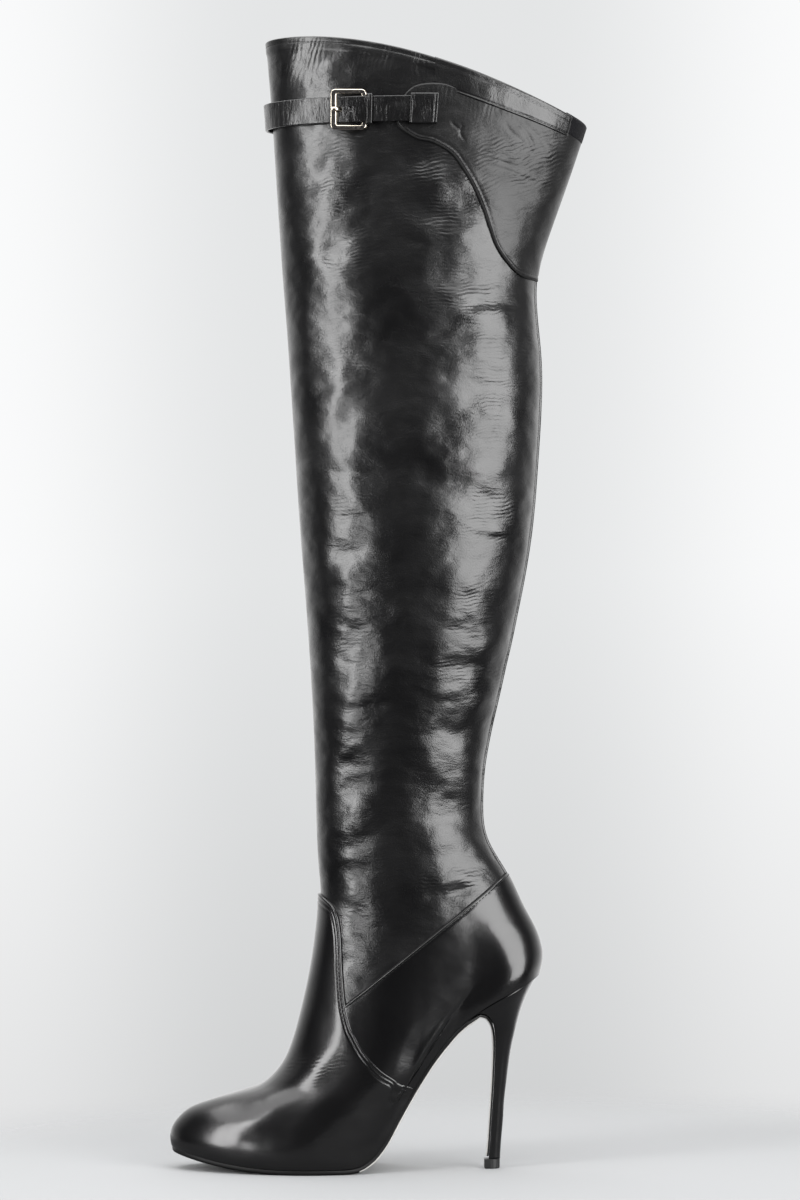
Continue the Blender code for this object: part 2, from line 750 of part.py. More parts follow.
def heel_ring(front, back, half):
    """D-shaped ring from the breast's outer corner round the back to its inner corner."""
    ring = [(0.0, -BREAST_SHARE)]
    for i in range(HEEL_POINTS):
        turn = math.pi * i / (HEEL_POINTS - 1)
        ring.append((HEEL_WIDEST + (1 - HEEL_WIDEST) * math.sin(turn), -math.cos(turn)))
    ring.append((0.0, BREAST_SHARE))
    return [(front.lerp(back, share) + Vector((0, side * half, 0))) for share, side in ring]


def make_heel(finish):
    levels = heel_levels()
    seat_front = Vector((levels[0][0].x - SEAT_FORWARD, 0, 0))
    seat = heel_ring(seat_front, Vector((SEAT_OVERHANG, 0, 0)), SEAT_WIDTH / 2)
    for point in seat:
        point.z = lasted_edge_height((point.x - TOE_X) / FOOT_LENGTH) - BED_GAP
    rings = [seat]
    for (front, back, half, flap), square in zip(levels, breast_normals(levels)):
        rings.append(heel_ring(front + (flap + GAP) * square, back, half))
    foot_z = LIFT_HEIGHT + GAP
    foot_front = Vector((rings[-1][0].x, 0, foot_z))
    foot_back = Vector((levels[-1][1].x, 0, foot_z))
    rings.append(heel_ring(foot_front, foot_back, levels[-1][2]))
    ringed_solid("heel", rings, finish)


def make_top_lift(finish):
    rings = []
    for inset, z in ((LIFT_EDGE, 0), (0, LIFT_EDGE), (0, LIFT_HEIGHT)):
        front = Vector((-TIP_LENGTH / 2 + inset, 0, z))
        back = Vector((TIP_LENGTH / 2 - inset, 0, z))
        rings.append(heel_ring(front, back, TIP_WIDTH / 2 - inset))
    ringed_solid("top_lift", rings, finish)


# Strap, buckle and loops

STRAP_HEIGHT = COLLAR_TOP - STRAP_BELOW_COLLAR
CHAPE_OUT = 2 * GAP + PANEL_THICKNESS
STRAP_OUT = CHAPE_OUT + CHAPE_THICKNESS + GAP
LOOP_OUT = STRAP_OUT + STRAP_THICKNESS + GAP
FRONT_X = skin(0, level_of_height(0, STRAP_HEIGHT)).x
BUCKLE_X = FRONT_X + BUCKLE_FROM_FRONT + BUCKLE_LENGTH / 2
STRAP_END_X = FRONT_X + STRAP_END_FROM_FRONT


def flat_profile(width, inside, thickness):
    low, high = STRAP_HEIGHT - width / 2, STRAP_HEIGHT + width / 2
    return [(low, inside), (high, inside), (high, inside + thickness), (low, inside + thickness)]


def staple_profile(inside, leg_foot):
    """Loop over the strap: its legs go down to the leather on both sides of it."""
    outer = STRAP_WIDTH / 2 + GAP + LOOP_THICKNESS
    inner = STRAP_WIDTH / 2 + GAP
    low, high = STRAP_HEIGHT - outer, STRAP_HEIGHT + outer
    top = inside + LOOP_THICKNESS
    return [(low, leg_foot), (low, top), (high, top), (high, leg_foot),
            (STRAP_HEIGHT + inner, leg_foot), (STRAP_HEIGHT + inner, inside),
            (STRAP_HEIGHT - inner, inside), (STRAP_HEIGHT - inner, leg_foot)]


def make_strap(leather):
    """Strap from the inner side's anchor round the front to its end in the wide loop."""
    start = column_of_place(STRAP_END_X, STRAP_HEIGHT, outer=False)
    end = column_of_place(STRAP_END_X, STRAP_HEIGHT)
    strap = swept("strap", whole_steps(start, end), flat_profile(STRAP_WIDTH, STRAP_OUT, STRAP_THICKNESS),
                  leather)
    for i, behind in enumerate(HOLES):
        spot, out = strap_spot(BUCKLE_X - BUCKLE_LENGTH / 2 + behind * BUCKLE_LENGTH)
        mesh = bmesh.new()
        bmesh.ops.create_cone(mesh, cap_ends=True, segments=12, radius1=HOLE_RADIUS, radius2=HOLE_RADIUS,
                              depth=6 * STRAP_THICKNESS)
        bmesh.ops.rotate(mesh, verts=mesh.verts, matrix=out.to_track_quat("Z", "Y").to_matrix())
        bmesh.ops.translate(mesh, verts=mesh.verts, vec=spot + STRAP_OUT * out)
        punch = object_from("strap_hole_%d" % (i + 1), mesh)
        punch.hide_render = True
        punch.display_type = "WIRE"
        cut = strap.modifiers.new("hole", "BOOLEAN")
        cut.operation = "DIFFERENCE"
        cut.object = punch


def strap_spot(x):
    """Point on the upper at the strap's middle with the given x, and the way out from it."""
    j = column_of_place(x, STRAP_HEIGHT)
    v = level_of_height(j, STRAP_HEIGHT)
    spot = skin(j, v)
    return spot, (skin(j, v, 1.0) - spot).normalized()


def make_loops(leather):
    chape_start = column_of_place(BUCKLE_X + BUCKLE_LENGTH / 2 + KEEPER_BEHIND, STRAP_HEIGHT)
    loop_end_x = STRAP_END_X + LOOP_LENGTH
    loop_end = column_of_place(loop_end_x, STRAP_HEIGHT)
    swept("chape", whole_steps(chape_start, column_of_place(STRAP_END_X, STRAP_HEIGHT)),
          flat_profile(STRAP_WIDTH - 2 * MM, CHAPE_OUT, CHAPE_THICKNESS), leather)
    keeper_x = BUCKLE_X + BUCKLE_LENGTH / 2 + KEEPER_BEHIND
    keeper = [column_of_place(x, STRAP_HEIGHT) for x in (keeper_x, keeper_x + KEEPER_LENGTH)]
    swept("strap_keeper", keeper, staple_profile(LOOP_OUT, GAP), leather)
    loop_start_x = STRAP_END_X - LOOP_LENGTH / 10
    for name, outer in (("strap_loop", True), ("strap_anchor", False)):
        ends = sorted(column_of_place(x, STRAP_HEIGHT, outer) for x in (loop_start_x, loop_end_x))
        swept(name, whole_steps(*ends), staple_profile(LOOP_OUT, CHAPE_OUT), leather)


def strap_face_y(x, out):
    """How far to the side a face of the strap stands where it has the given x."""
    way = strap_spot(x)[1]
    spot, way = strap_spot(x - out * way.x)
    return (spot + out * way).y


def frame_y(x):
    """Middle of the frame: its front bar lies over the strap, its back bar under it."""
    front_x = BUCKLE_X - BUCKLE_LENGTH / 2 + BUCKLE_BAR
    back_x = BUCKLE_X + BUCKLE_LENGTH / 2 - BUCKLE_RAIL
    clear = GAP + BUCKLE_DEPTH / 2
    front_y = strap_face_y(front_x, STRAP_OUT + STRAP_THICKNESS) - clear
    back_y = strap_face_y(back_x, STRAP_OUT) + clear
    return front_y + (back_y - front_y) * (x - front_x) / (back_x - front_x)


def make_buckle(metal):
    mesh = bmesh.new()
    sides = [
        rounded_rectangle(BUCKLE_LENGTH, BUCKLE_HEIGHT, BUCKLE_CORNER, 0.0),
        rounded_rectangle(BUCKLE_LENGTH - BUCKLE_BAR - BUCKLE_RAIL, BUCKLE_HEIGHT - 2 * BUCKLE_RAIL,
                          BUCKLE_CORNER / 3, (BUCKLE_BAR - BUCKLE_RAIL) / 2)]
    start_y = frame_y(BUCKLE_X)
    lean = (frame_y(BUCKLE_X + BUCKLE_LENGTH / 2) - start_y) / (BUCKLE_LENGTH / 2)
    loops = []
    for out in (-BUCKLE_DEPTH / 2, BUCKLE_DEPTH / 2):
        loops.append([[mesh.verts.new((BUCKLE_X + x, start_y + lean * x + out, STRAP_HEIGHT + z))
                       for x, z in side] for side in sides])
    count = len(sides[0])
    (near_out, near_in), (far_out, far_in) = loops
    for low, high in ((near_out, near_in), (near_in, far_in), (far_in, far_out), (far_out, near_out)):
        for i in range(count):
            k = (i + 1) % count
            mesh.faces.new((low[i], low[k], high[k], high[i]))
    object_from("buckle_frame", mesh, metal)


def rounded_rectangle(length, height, corner, shift):
    points = []
    for side_x, side_z, start in ((1, 1, 0), (-1, 1, 90), (-1, -1, 180), (1, -1, 270)):
        for step in range(5):
            turn = math.radians(start + step * 22.5)
            points.append((shift + side_x * (length / 2 - corner) + corner * math.cos(turn),
                           side_z * (height / 2 - corner) + corner * math.sin(turn)))
    return points


def make_prong(metal):
    """Prong from the hidden back bar, up through the strap's hole and onto the front bar."""
    half = BUCKLE_LENGTH / 2
    hole_x = BUCKLE_X - half + HOLES[0] * BUCKLE_LENGTH
    spot, out = strap_spot(hole_x)
    under = CHAPE_OUT - GAP
    bar_face = frame_y(BUCKLE_X - half) - BUCKLE_DEPTH / 2 - GAP - PRONG_DEPTH / 2
    path = []
    for x, lift in ((BUCKLE_X + half - BUCKLE_RAIL - GAP, under), (hole_x + PRONG_RISE, under - GAP)):
        foot, way = strap_spot(x)
        path.append(foot + way * lift)
    path.append(spot + out * (STRAP_OUT + STRAP_THICKNESS / 2))
    path.append(Vector((BUCKLE_X - half + BUCKLE_BAR + LAID_GAP, bar_face + LAID_GAP, 0)))
    path.append(Vector((BUCKLE_X - half + BUCKLE_BAR / 2, bar_face, 0)))
    path.append(Vector((BUCKLE_X - half + LAID_GAP / 2, bar_face, 0)))
    rings = []
    for i, point in enumerate(path):
        run = path[min(i + 1, len(path) - 1)] - path[max(i - 1, 0)]
        square = Vector((-run.y, run.x, 0)).normalized() * PRONG_DEPTH / 2
        point = Vector((point.x, point.y, STRAP_HEIGHT))
        ring = []
        for out_share, up_share in ((-1, -0.6), (-0.6, -1), (0.6, -1), (1, -0.6), (1, 0.6), (0.6, 1),
                                    (-0.6, 1), (-1, 0.6)):
            ring.append(point + out_share * square + Vector((0, 0, up_share * PRONG_WIDTH / 2)))
        rings.append(ring)
    ringed_solid("buckle_prong", rings, metal)


def main():
    for old in list(bpy.data.objects):
        bpy.data.objects.remove(old, do_unlink=True)
    calf = material("black_calf", (0.012, 0.011, 0.011), 0.28)
    polished = material("polished_calf", (0.011, 0.010, 0.010), 0.18)
    lining = material("lining_leather", (0.62, 0.55, 0.46), 0.6)
    sole_leather = material("sole_leather", (0.62, 0.60, 0.57), 0.55)
    rubber = material("lift_rubber", (0.015, 0.015, 0.015), 0.5)
    knit = material("knitted_elastic", (0.01, 0.01, 0.01), 0.9)
    nickel = material("nickel", (0.80, 0.77, 0.72), 0.15, 1.0)
    make_upper(calf)
    make_vamp(polished)
    make_counter(polished)
    make_back_strip(calf)
    make_knee_panel(calf)
    make_collar_bands(calf)
    make_elastic(knit)
    make_insole(lining)
    make_outsole(sole_leather)
    make_heel(polished)
    make_top_lift(rubber)
    make_strap(calf)
    make_loops(calf)
    make_buckle(nickel)
    make_prong(nickel)


main()
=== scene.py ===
# Thigh high boot in black smooth leather, left foot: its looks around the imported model.
# Metres, toe towards -X, outer side towards -Y, floor at z = 0.
import math

import bmesh
import bpy
import numpy as np
from mathutils import Matrix, Vector

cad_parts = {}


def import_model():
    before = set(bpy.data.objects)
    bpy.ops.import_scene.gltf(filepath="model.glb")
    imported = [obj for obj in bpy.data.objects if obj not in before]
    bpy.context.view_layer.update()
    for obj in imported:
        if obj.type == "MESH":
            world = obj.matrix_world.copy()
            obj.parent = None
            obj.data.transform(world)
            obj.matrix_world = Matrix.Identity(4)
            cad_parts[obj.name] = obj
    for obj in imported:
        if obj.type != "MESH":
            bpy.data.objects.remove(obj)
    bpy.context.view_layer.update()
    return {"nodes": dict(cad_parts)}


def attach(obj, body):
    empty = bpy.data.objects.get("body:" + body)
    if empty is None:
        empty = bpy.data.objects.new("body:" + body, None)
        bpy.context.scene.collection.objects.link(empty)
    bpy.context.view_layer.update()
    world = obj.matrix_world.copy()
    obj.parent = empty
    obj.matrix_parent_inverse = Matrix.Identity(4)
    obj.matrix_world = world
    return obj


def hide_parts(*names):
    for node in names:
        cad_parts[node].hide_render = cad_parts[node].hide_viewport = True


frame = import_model()
scene = bpy.context.scene
mm = 0.001


boot = {
    "footLength": 226.5 * mm,
    "ballWidth": 75.0 * mm,
    "heelHeight": 121.3 * mm,
    "seatOverhang": 28.1 * mm,
    "toeSpring": 10.5 * mm,
    "toeBox": 34.2 * mm,
    "springShare": 0.34,
    "springCurve": 2.1,
    "toeSwing": 3.5 * mm,
    "swingShare": 0.45,
    "ankle": 46.2 * mm,
    "counter": 63.1 * mm,
    "shaft": 580.7 * mm,
    "collarDrop": 52.0 * mm,
    "collarCrown": 13.3 * mm,
    "crownCurve": 0.85,
    "calfDepth": 153.0 * mm,
    "calfWidth": 92.0 * mm,
    "wall": 1.8 * mm,
    "soleThickness": 3.0 * mm,
    "bedGap": 0.5 * mm,
}
seatBase = boot["soleThickness"] + boot["bedGap"]
toeX = boot["seatOverhang"] - boot["footLength"]
collarTop = boot["heelHeight"] + boot["shaft"]
insole = boot["heelHeight"] + boot["ankle"]

# front, front rise, back, back rise, outer, inner, outline, sag
footLevels = [
    (0.0000, 0.000, 1.0000, 0.000, 0.500, 0.500, 1.00, 1.000),
    (-0.0044, 0.108, 1.0030, 0.043, 0.511, 0.511, 1.00, 0.985),
    (-0.0018, 0.298, 1.0066, 0.098, 0.517, 0.517, 0.97, 0.960),
    (0.0150, 0.474, 1.0088, 0.146, 0.517, 0.517, 0.93, 0.930),
    (0.0459, 0.649, 1.0093, 0.193, 0.511, 0.511, 0.87, 0.880),
    (0.0945, 0.775, 1.0084, 0.241, 0.501, 0.501, 0.80, 0.800),
    (0.1475, 0.877, 1.0053, 0.296, 0.491, 0.491, 0.70, 0.700),
    (0.2137, 1.000, 1.0004, 0.360, 0.480, 0.480, 0.58, 0.580),
    (0.2600, 1.046, 0.9920, 0.439, 0.469, 0.469, 0.45, 0.460),
    (0.3104, 1.163, 0.9775, 0.542, 0.453, 0.453, 0.30, 0.320),
    (0.3488, 1.372, 0.9510, 0.724, 0.437, 0.437, 0.15, 0.180),
    (0.3845, 1.686, 0.9139, 1.000, 0.427, 0.427, 0.05, 0.070),
    (0.4026, 2.000, 0.8623, 1.044, 0.420, 0.420, 0.00, 0.000),
]

# centre, depth, front rise, back rise, width, crown
shaftLevels = [
    (0.6225, 0.668, 2.042, 1.085, 0.685, 0.00),
    (0.6200, 0.680, 2.108, 1.126, 0.717, 0.00),
    (0.6267, 0.713, 2.177, 1.182, 0.772, 0.00),
    (0.6428, 0.792, 2.267, 1.274, 0.870, 0.00),
    (0.6567, 0.875, 2.353, 1.369, 0.946, 0.00),
    (0.6647, 0.942, 2.431, 1.457, 0.989, 0.00),
    (0.6667, 0.982, 2.506, 1.543, 1.000, 0.00),
    (0.6653, 1.021, 2.600, 1.650, 0.989, 0.00),
    (0.6567, 1.024, 2.660, 1.721, 0.978, 0.00),
    (0.6475, 1.029, 2.719, 1.783, 0.967, 0.05),
    (0.6519, 1.073, 2.781, 1.835, 0.957, 0.25),
    (0.6684, 1.150, 2.843, 1.895, 0.935, 0.50),
    (0.6854, 1.231, 2.910, 1.957, 0.924, 0.75),
    (0.6912, 1.299, 3.000, 2.000, 0.913, 1.00),
]

# lasted edge: along, rise
arch = [
    (0.000, 0.000), (0.470, 0.000), (0.505, 0.008), (0.540, 0.046), (0.574, 0.123), (0.609, 0.245),
    (0.642, 0.359), (0.675, 0.465), (0.708, 0.562), (0.744, 0.651), (0.779, 0.727), (0.819, 0.790),
    (0.873, 0.861), (0.942, 0.934), (1.000, 1.000), (1.060, 1.070),
]

# lasted edge from above: along, outer, inner
outline = [
    (0.00, 0.98, 0.98), (0.12, 1.05, 1.07), (0.21, 1.07, 1.10), (0.29, 1.07, 1.09), (0.36, 1.05, 1.03),
    (0.42, 0.99, 0.94), (0.48, 0.90, 0.83), (0.57, 0.75, 0.70), (0.66, 0.69, 0.66), (0.75, 0.73, 0.72),
    (0.83, 0.89, 0.89), (0.90, 1.10, 1.10), (0.95, 1.27, 1.27), (1.00, 1.38, 1.38),
]


def alongX(share):
    return toeX + share * boot["footLength"]


def throughRows(table, column, at):
    # a smooth curve through a column of a table, without overshoot
    knots = np.array([row[0] for row in table])
    values = np.array([row[column] for row in table])
    steps = np.diff(knots)
    slopes = np.diff(values) / steps
    before, after = slopes[:-1], slopes[1:]
    same = before * after > 0
    between = np.where(same, 2 * before * after / np.where(same, before + after, 1), 0)
    leans = np.concatenate((slopes[:1], between, slopes[-1:]))
    at = np.clip(at, knots[0], knots[-1])
    row = np.clip(np.searchsorted(knots, at) - 1, 0, len(steps) - 1)
    t = (at - knots[row]) / steps[row]
    start, end = leans[row] * steps[row], leans[row + 1] * steps[row]
    return (values[row] * (2 * t**3 - 3 * t**2 + 1) + start * (t**3 - 2 * t**2 + t)
            + values[row + 1] * (3 * t**2 - 2 * t**3) + end * (t**3 - t**2))


def climbed(base, rise, heights):
    # a height stated in whole stretches and a share of the next one
    for height in heights[:-1]:
        base += min(rise, 1.0) * height
        rise = max(rise - 1.0, 0.0)
    return base + rise * heights[-1]


def levelTable():
    # front x and z, back x and z, outer and inner half width, outline, sag and crown of each level
    frontHeights = (boot["toeBox"], insole - seatBase - boot["toeSpring"] - boot["toeBox"],
                    boot["shaft"] - boot["ankle"])
    backHeights = (boot["counter"], boot["shaft"] - boot["collarDrop"] - boot["counter"])
    rows = []
    for front, frontRise, back, backRise, outer, inner, shape, sag in footLevels:
        rows.append((alongX(front), frontRise, alongX(back), backRise,
                     outer * boot["ballWidth"], inner * boot["ballWidth"], shape, sag, 0.0))
    for centre, depth, frontRise, backRise, width, crown in shaftLevels:
        half = depth * boot["calfDepth"] / 2
        side = width * boot["calfWidth"] / 2
        rows.append((alongX(centre) - half, frontRise, alongX(centre) + half, backRise,
                     side, side, 0.0, 0.0, crown))
    table = np.array(rows)
    table[:, 1] = [climbed(seatBase + boot["toeSpring"], rise, frontHeights) for rise in table[:, 1]]
    table[:, 3] = [climbed(boot["heelHeight"], rise, backHeights) for rise in table[:, 3]]
    return table


levels = levelTable()
topLevel = len(levels) - 1


def splineBends(values):
    # second derivatives of the natural cubic spline through the levels
    count = len(values)
    system = np.zeros((count, count))
    right = np.zeros(values.shape)
    system[0, 0] = system[-1, -1] = 1
    for i in range(1, count - 1):
        system[i, i - 1:i + 2] = (1, 4, 1)
        right[i] = 6 * (values[i - 1] - 2 * values[i] + values[i + 1])
    return np.linalg.solve(system, right)


bends = splineBends(levels)


def levelAt(v):
    row = np.clip(v.astype(int), 0, topLevel - 1)
    t = (v - row)[..., None]
    s = 1 - t
    return (s * levels[row] + t * levels[row + 1]
            + ((s**3 - s) * bends[row] + (t**3 - t) * bends[row + 1]) / 6)


def edgeHeight(share):
    spring = np.minimum(np.maximum(0.0, 1.0 - share / boot["springShare"]) ** boot["springCurve"], 1.0)
    return seatBase + boot["toeSpring"] * spring + (boot["heelHeight"] - seatBase) * throughRows(arch, 1, share)


def lastPoint(angle, v):
    # the boot's outer face: angle 0 in front, pi behind, positive outside; v from the sole to the collar
    angle, v = np.broadcast_arrays(np.asarray(angle, float), np.asarray(v, float))
    row = levelAt(v)
    share = (1 - np.cos(angle)) / 2
    outer = np.sin(angle) >= 0
    half = np.where(outer, row[..., 4], row[..., 5])
    shape = np.where(outer, throughRows(outline, 1, share), throughRows(outline, 2, share))
    half = half * (1 + row[..., 6] * (shape - 1))
    swing = np.maximum(row[..., 6], 0) * boot["toeSwing"] * np.maximum(0.0, 1 - share / boot["swingShare"]) ** 2
    toeHeight = edgeHeight(np.zeros(1))[0]
    dip = edgeHeight(share) - toeHeight - share * (boot["heelHeight"] - toeHeight)
    bow = boot["collarCrown"] * np.sin(math.pi * share ** boot["crownCurve"])
    return np.stack((row[..., 0] + (row[..., 2] - row[..., 0]) * share,
                     swing - half * np.sin(angle),
                     row[..., 1] + (row[..., 3] - row[..., 1]) * share + row[..., 7] * dip + row[..., 8] * bow),
                    axis=-1)


def unit(vectors):
    return vectors / np.maximum(np.linalg.norm(vectors, axis=-1, keepdims=True), 1e-12)


def lastNormal(angle, v):
    step = 0.01
    roundWay = lastPoint(angle + step, v) - lastPoint(angle - step, v)
    upWay = lastPoint(angle, np.minimum(v + step, topLevel)) - lastPoint(angle, np.maximum(v - step, 0))
    return unit(np.cross(roundWay, upWay))


print("boot function ready")


# Dents, folds and creases of the shaft, seen from the outer side.
# Places are in mm from the heel's tip (x) and from the floor (z), depths in mm, out is positive.
softDents = [
    # x, z, reach along x, reach along z, tilt in degrees, depth
    (-40, 652, 16, 12, 0, 0.5),
    (-36, 610, 18, 12, -8, 1.0),
    (-30, 590, 20, 9, -6, -1.0),
    (-16, 574, 20, 14, 10, 1.1),
    (-22, 552, 26, 8, 6, -1.3),
    (-10, 536, 22, 10, -6, 0.9),
    (-34, 520, 14, 14, 0, -0.9),
    (6, 512, 20, 14, 18, 1.3),
    (-22, 498, 22, 10, 10, 0.8),
    (-6, 484, 24, 9, -10, -1.3),
    (10, 462, 16, 18, -12, 1.1),
    (-30, 462, 14, 12, 0, -0.9),
    (-2, 438, 24, 9, 8, 0.9),
    (-24, 424, 18, 11, -10, -0.8),
    (4, 408, 20, 9, -6, -1.2),
    (-14, 388, 28, 9, 4, -1.0),
    (-24, 362, 20, 18, 8, 1.2),
    (4, 350, 14, 14, -14, -0.9),
    (-16, 330, 22, 12, 0, 1.0),
    (-2, 312, 20, 9, 12, -1.2),
    (-26, 296, 16, 14, -6, 0.9),
    (-14, 276, 20, 9, 6, -0.9),
    (-28, 252, 16, 14, 0, 0.9),
    (-8, 240, 14, 12, -14, 0.7),
    (-22, 222, 20, 8, 4, -1.0),
    (-30, 204, 18, 10, -4, 1.1),
    (-94, 660, 12, 10, 0, 0.7),
    (-98, 628, 10, 9, 0, -0.7),
    (-95, 604, 12, 10, 0, 0.7),
    (-99, 574, 10, 8, 0, -0.8),
    (-95, 552, 12, 9, 6, 0.6),
    (-98, 520, 10, 12, -6, -0.7),
    (-93, 486, 11, 10, 4, 0.7),
    (-95, 456, 10, 10, -5, -0.7),
    (-90, 420, 12, 14, 4, 0.6),
    (-93, 386, 10, 10, 0, -0.6),
    (-88, 350, 12, 14, -4, 0.6),
    (-90, 312, 10, 14, 0, -0.6),
    (-86, 272, 12, 12, 0, 0.6),
    (-88, 240, 10, 9, 0, -0.7),
    (-86, 214, 10, 9, 0, 0.5),
    (-96, 592, 9, 5, 0, -0.4),
    (-94, 538, 9, 6, 8, -0.45),
    (-91, 470, 9, 6, -6, -0.5),
    (-92, 438, 9, 7, 4, 0.5),
    (-89, 402, 9, 6, -6, -0.5),
    (-90, 368, 9, 6, 4, 0.5),
    (-88, 332, 9, 6, -4, -0.55),
    (-87, 292, 9, 8, 6, 0.6),
    (-86, 256, 10, 6, -4, -0.6),
    (-85, 228, 9, 6, 0, 0.6),
    (-124, 560, 10, 30, 0, -0.6),
    (-120, 480, 10, 26, 0, 0.5),
]
foldLines = [
    # x, z, to x, to z, half width, depth
    (-26, 533, 25, 542, 2.6, -1.0),
    (-24, 527, 20, 535, 3.0, 0.6),
    (-12, 393, 18, 388, 2.6, -0.9),
    (-6, 399, 16, 396, 2.6, 0.6),
    (-46, 180, -4, 182, 4.0, 1.0),
    (-44, 172, -6, 175, 3.2, -1.0),
    (-90, 128, -94, 66, 8.0, 0.8),
    (-84, 86, -164, 20, 8.0, 1.3),
    (-8, 174, 16, 112, 9.0, 0.9),
    (-100, 618, -88, 615, 1.6, -0.35),
    (-101, 596, -87, 592, 1.5, -0.35),
    (-99, 566, -86, 563, 1.5, -0.3),
    (-30, 604, 0, 598, 1.8, -0.4),
    (-28, 596, -2, 590, 1.6, -0.35),
    (-16, 500, 14, 492, 1.8, -0.4),
    (-30, 440, -10, 444, 1.8, -0.3),
]
# the waist above the arch, filled and eased on both sides
waistLines = [
    (-58, 48, -19, 108, 3.2, 1.8),
    (-59, 61.2, -29, 107.2, 6.0, -0.6),
]
# where fine creases lie across the shaft, and where upright pleats do
crinkleSpots = [
    # x, z, reach along x, reach along z, amount
    (-95, 645, 14, 22, 0.8),
    (-96, 606, 14, 16, 1.0),
    (-96, 572, 14, 16, 1.0),
    (-92, 500, 12, 14, 0.5),
    (-90, 420, 12, 16, 0.5),
    (-88, 330, 12, 20, 0.3),
    (-24, 622, 26, 20, 0.9),
    (-26, 590, 24, 18, 0.8),
    (-14, 540, 26, 18, 0.8),
    (8, 505, 22, 18, 0.7),
    (-4, 462, 24, 18, 0.6),
    (2, 404, 22, 16, 0.8),
    (-14, 352, 22, 18, 0.4),
    (-10, 310, 22, 14, 0.6),
    (-24, 180, 24, 10, 0.6),
    (-112, 66, 14, 10, 0.8),
    (18, 628, 30, 18, 0.9),
]
pleatSpots = [
    (-52, 690, 22, 16, 1.0),
    (-20, 680, 30, 14, 0.8),
    (20, 664, 30, 12, 0.7),
    (-118, 690, 16, 14, 0.5),
]
panelCreases = [
    (-14, 628, 42, 615, 0.9, -0.35),
    (-12, 631, 44, 625, 0.9, -0.30),
    (-6, 622, 42, 610, 1.0, -0.35),
    (2, 626, 34, 617, 0.8, -0.25),
    (13, 652, 29, 628, 1.2, -0.40),
    (18, 651, 35, 631, 1.1, -0.35),
    (6, 650, 22, 630, 1.1, -0.30),
    (25, 648, 40, 634, 1.1, -0.30),
    (-21, 648, -18, 635, 1.0, -0.35),
    (-26, 650, -20, 640, 1.0, -0.30),
    (4, 606, 26, 600, 1.2, -0.25),
    (14, 596, 30, 590, 1.2, -0.25),
]


def acrossFold(x, z, fold):
    startX, startZ, endX, endZ, half, depth = fold
    runX, runZ = endX - startX, endZ - startZ
    length = math.hypot(runX, runZ)
    t = ((x - startX) * runX + (z - startZ) * runZ) / length**2
    off = ((x - startX) * runZ - (z - startZ) * runX) / length
    # the fold wavers a little off its straight line
    off = off + 0.9 * np.sin(t * 7 + startZ)
    fade = np.clip(t * 3, 0, 1) * np.clip((1 - t) * 3, 0, 1)
    return depth * fade * np.exp(-(off / half)**2)


# the inner side takes the same dents a little further forward and up, in mm
innerForward, innerUp = 9, 14


def fromOuterSide(points, angle):
    x, z = points[..., 0] / mm, points[..., 2] / mm
    outer = np.sin(angle) >= 0
    return np.where(outer, x, x + innerForward), np.where(outer, z, z - innerUp)


def relief(points, angle):
    # dents and folds of the leather, less of them at the very front and back
    x, z = fromOuterSide(points, angle)
    out = np.zeros(x.shape)
    for dentX, dentZ, reachX, reachZ, tilt, depth in softDents:
        turn = math.radians(tilt)
        along = ((x - dentX) * math.cos(turn) + (z - dentZ) * math.sin(turn)) / reachX
        up = ((z - dentZ) * math.cos(turn) - (x - dentX) * math.sin(turn)) / reachZ
        out += depth * np.exp(-(along**2 + up**2))
    for fold in foldLines:
        out += acrossFold(x, z, fold)
    for fold in waistLines:
        out += acrossFold(points[..., 0] / mm, points[..., 2] / mm, fold)
    return out * mm * np.clip(np.abs(np.sin(angle)) * 3, 0, 1)


def spotted(spots, points, angle):
    # how strong the fine creases are at each point
    x, z = fromOuterSide(points, angle)
    amount = np.zeros(x.shape)
    for spotX, spotZ, reachX, reachZ, share in spots:
        amount = np.maximum(amount, share * np.exp(-(((x - spotX) / reachX)**2 + ((z - spotZ) / reachZ)**2)))
    return amount


def skin(angle, v, out=0.0):
    # the finished leather's face, or a distance out from it
    angle, v = np.broadcast_arrays(np.asarray(angle, float), np.asarray(v, float))
    base = lastPoint(angle, v)
    return base + lastNormal(angle, v) * (relief(base, angle) + out)[..., None]


def bisected(test, low, high, steps=34):
    for _ in range(steps):
        middle = (low + high) / 2
        below = test(middle)
        low = np.where(below, middle, low)
        high = np.where(below, high, middle)
    return (low + high) / 2


def levelOfHeight(angle, z):
    angle, z = np.broadcast_arrays(np.asarray(angle, float), np.asarray(z, float))

    def below(v):
        return lastPoint(angle, v)[..., 2] < z

    return bisected(below, np.zeros(angle.shape), np.full(angle.shape, float(topLevel)))


def placeFromSide(x, z, side=1):
    # angle and level of points seen at x, z from the outer side (1) or the inner side (-1)
    x, z = np.asarray(x, float), np.asarray(z, float)

    def before(angle):
        return lastPoint(side * angle, levelOfHeight(side * angle, z))[..., 0] < x

    angle = bisected(before, np.zeros(x.shape), np.full(x.shape, math.pi), 26)
    return angle, levelOfHeight(side * angle, z)


def runAlong(line):
    # length along a line up to each of its points
    return np.concatenate(([0], np.cumsum(np.linalg.norm(np.diff(line, axis=0), axis=1))))


def readAlong(line, run, at):
    return np.stack([np.interp(at, run, line[:, k]) for k in range(line.shape[1])], axis=1)


def evenSteps(line, count):
    run = runAlong(line)
    return readAlong(line, run, np.linspace(0, run[-1], count))


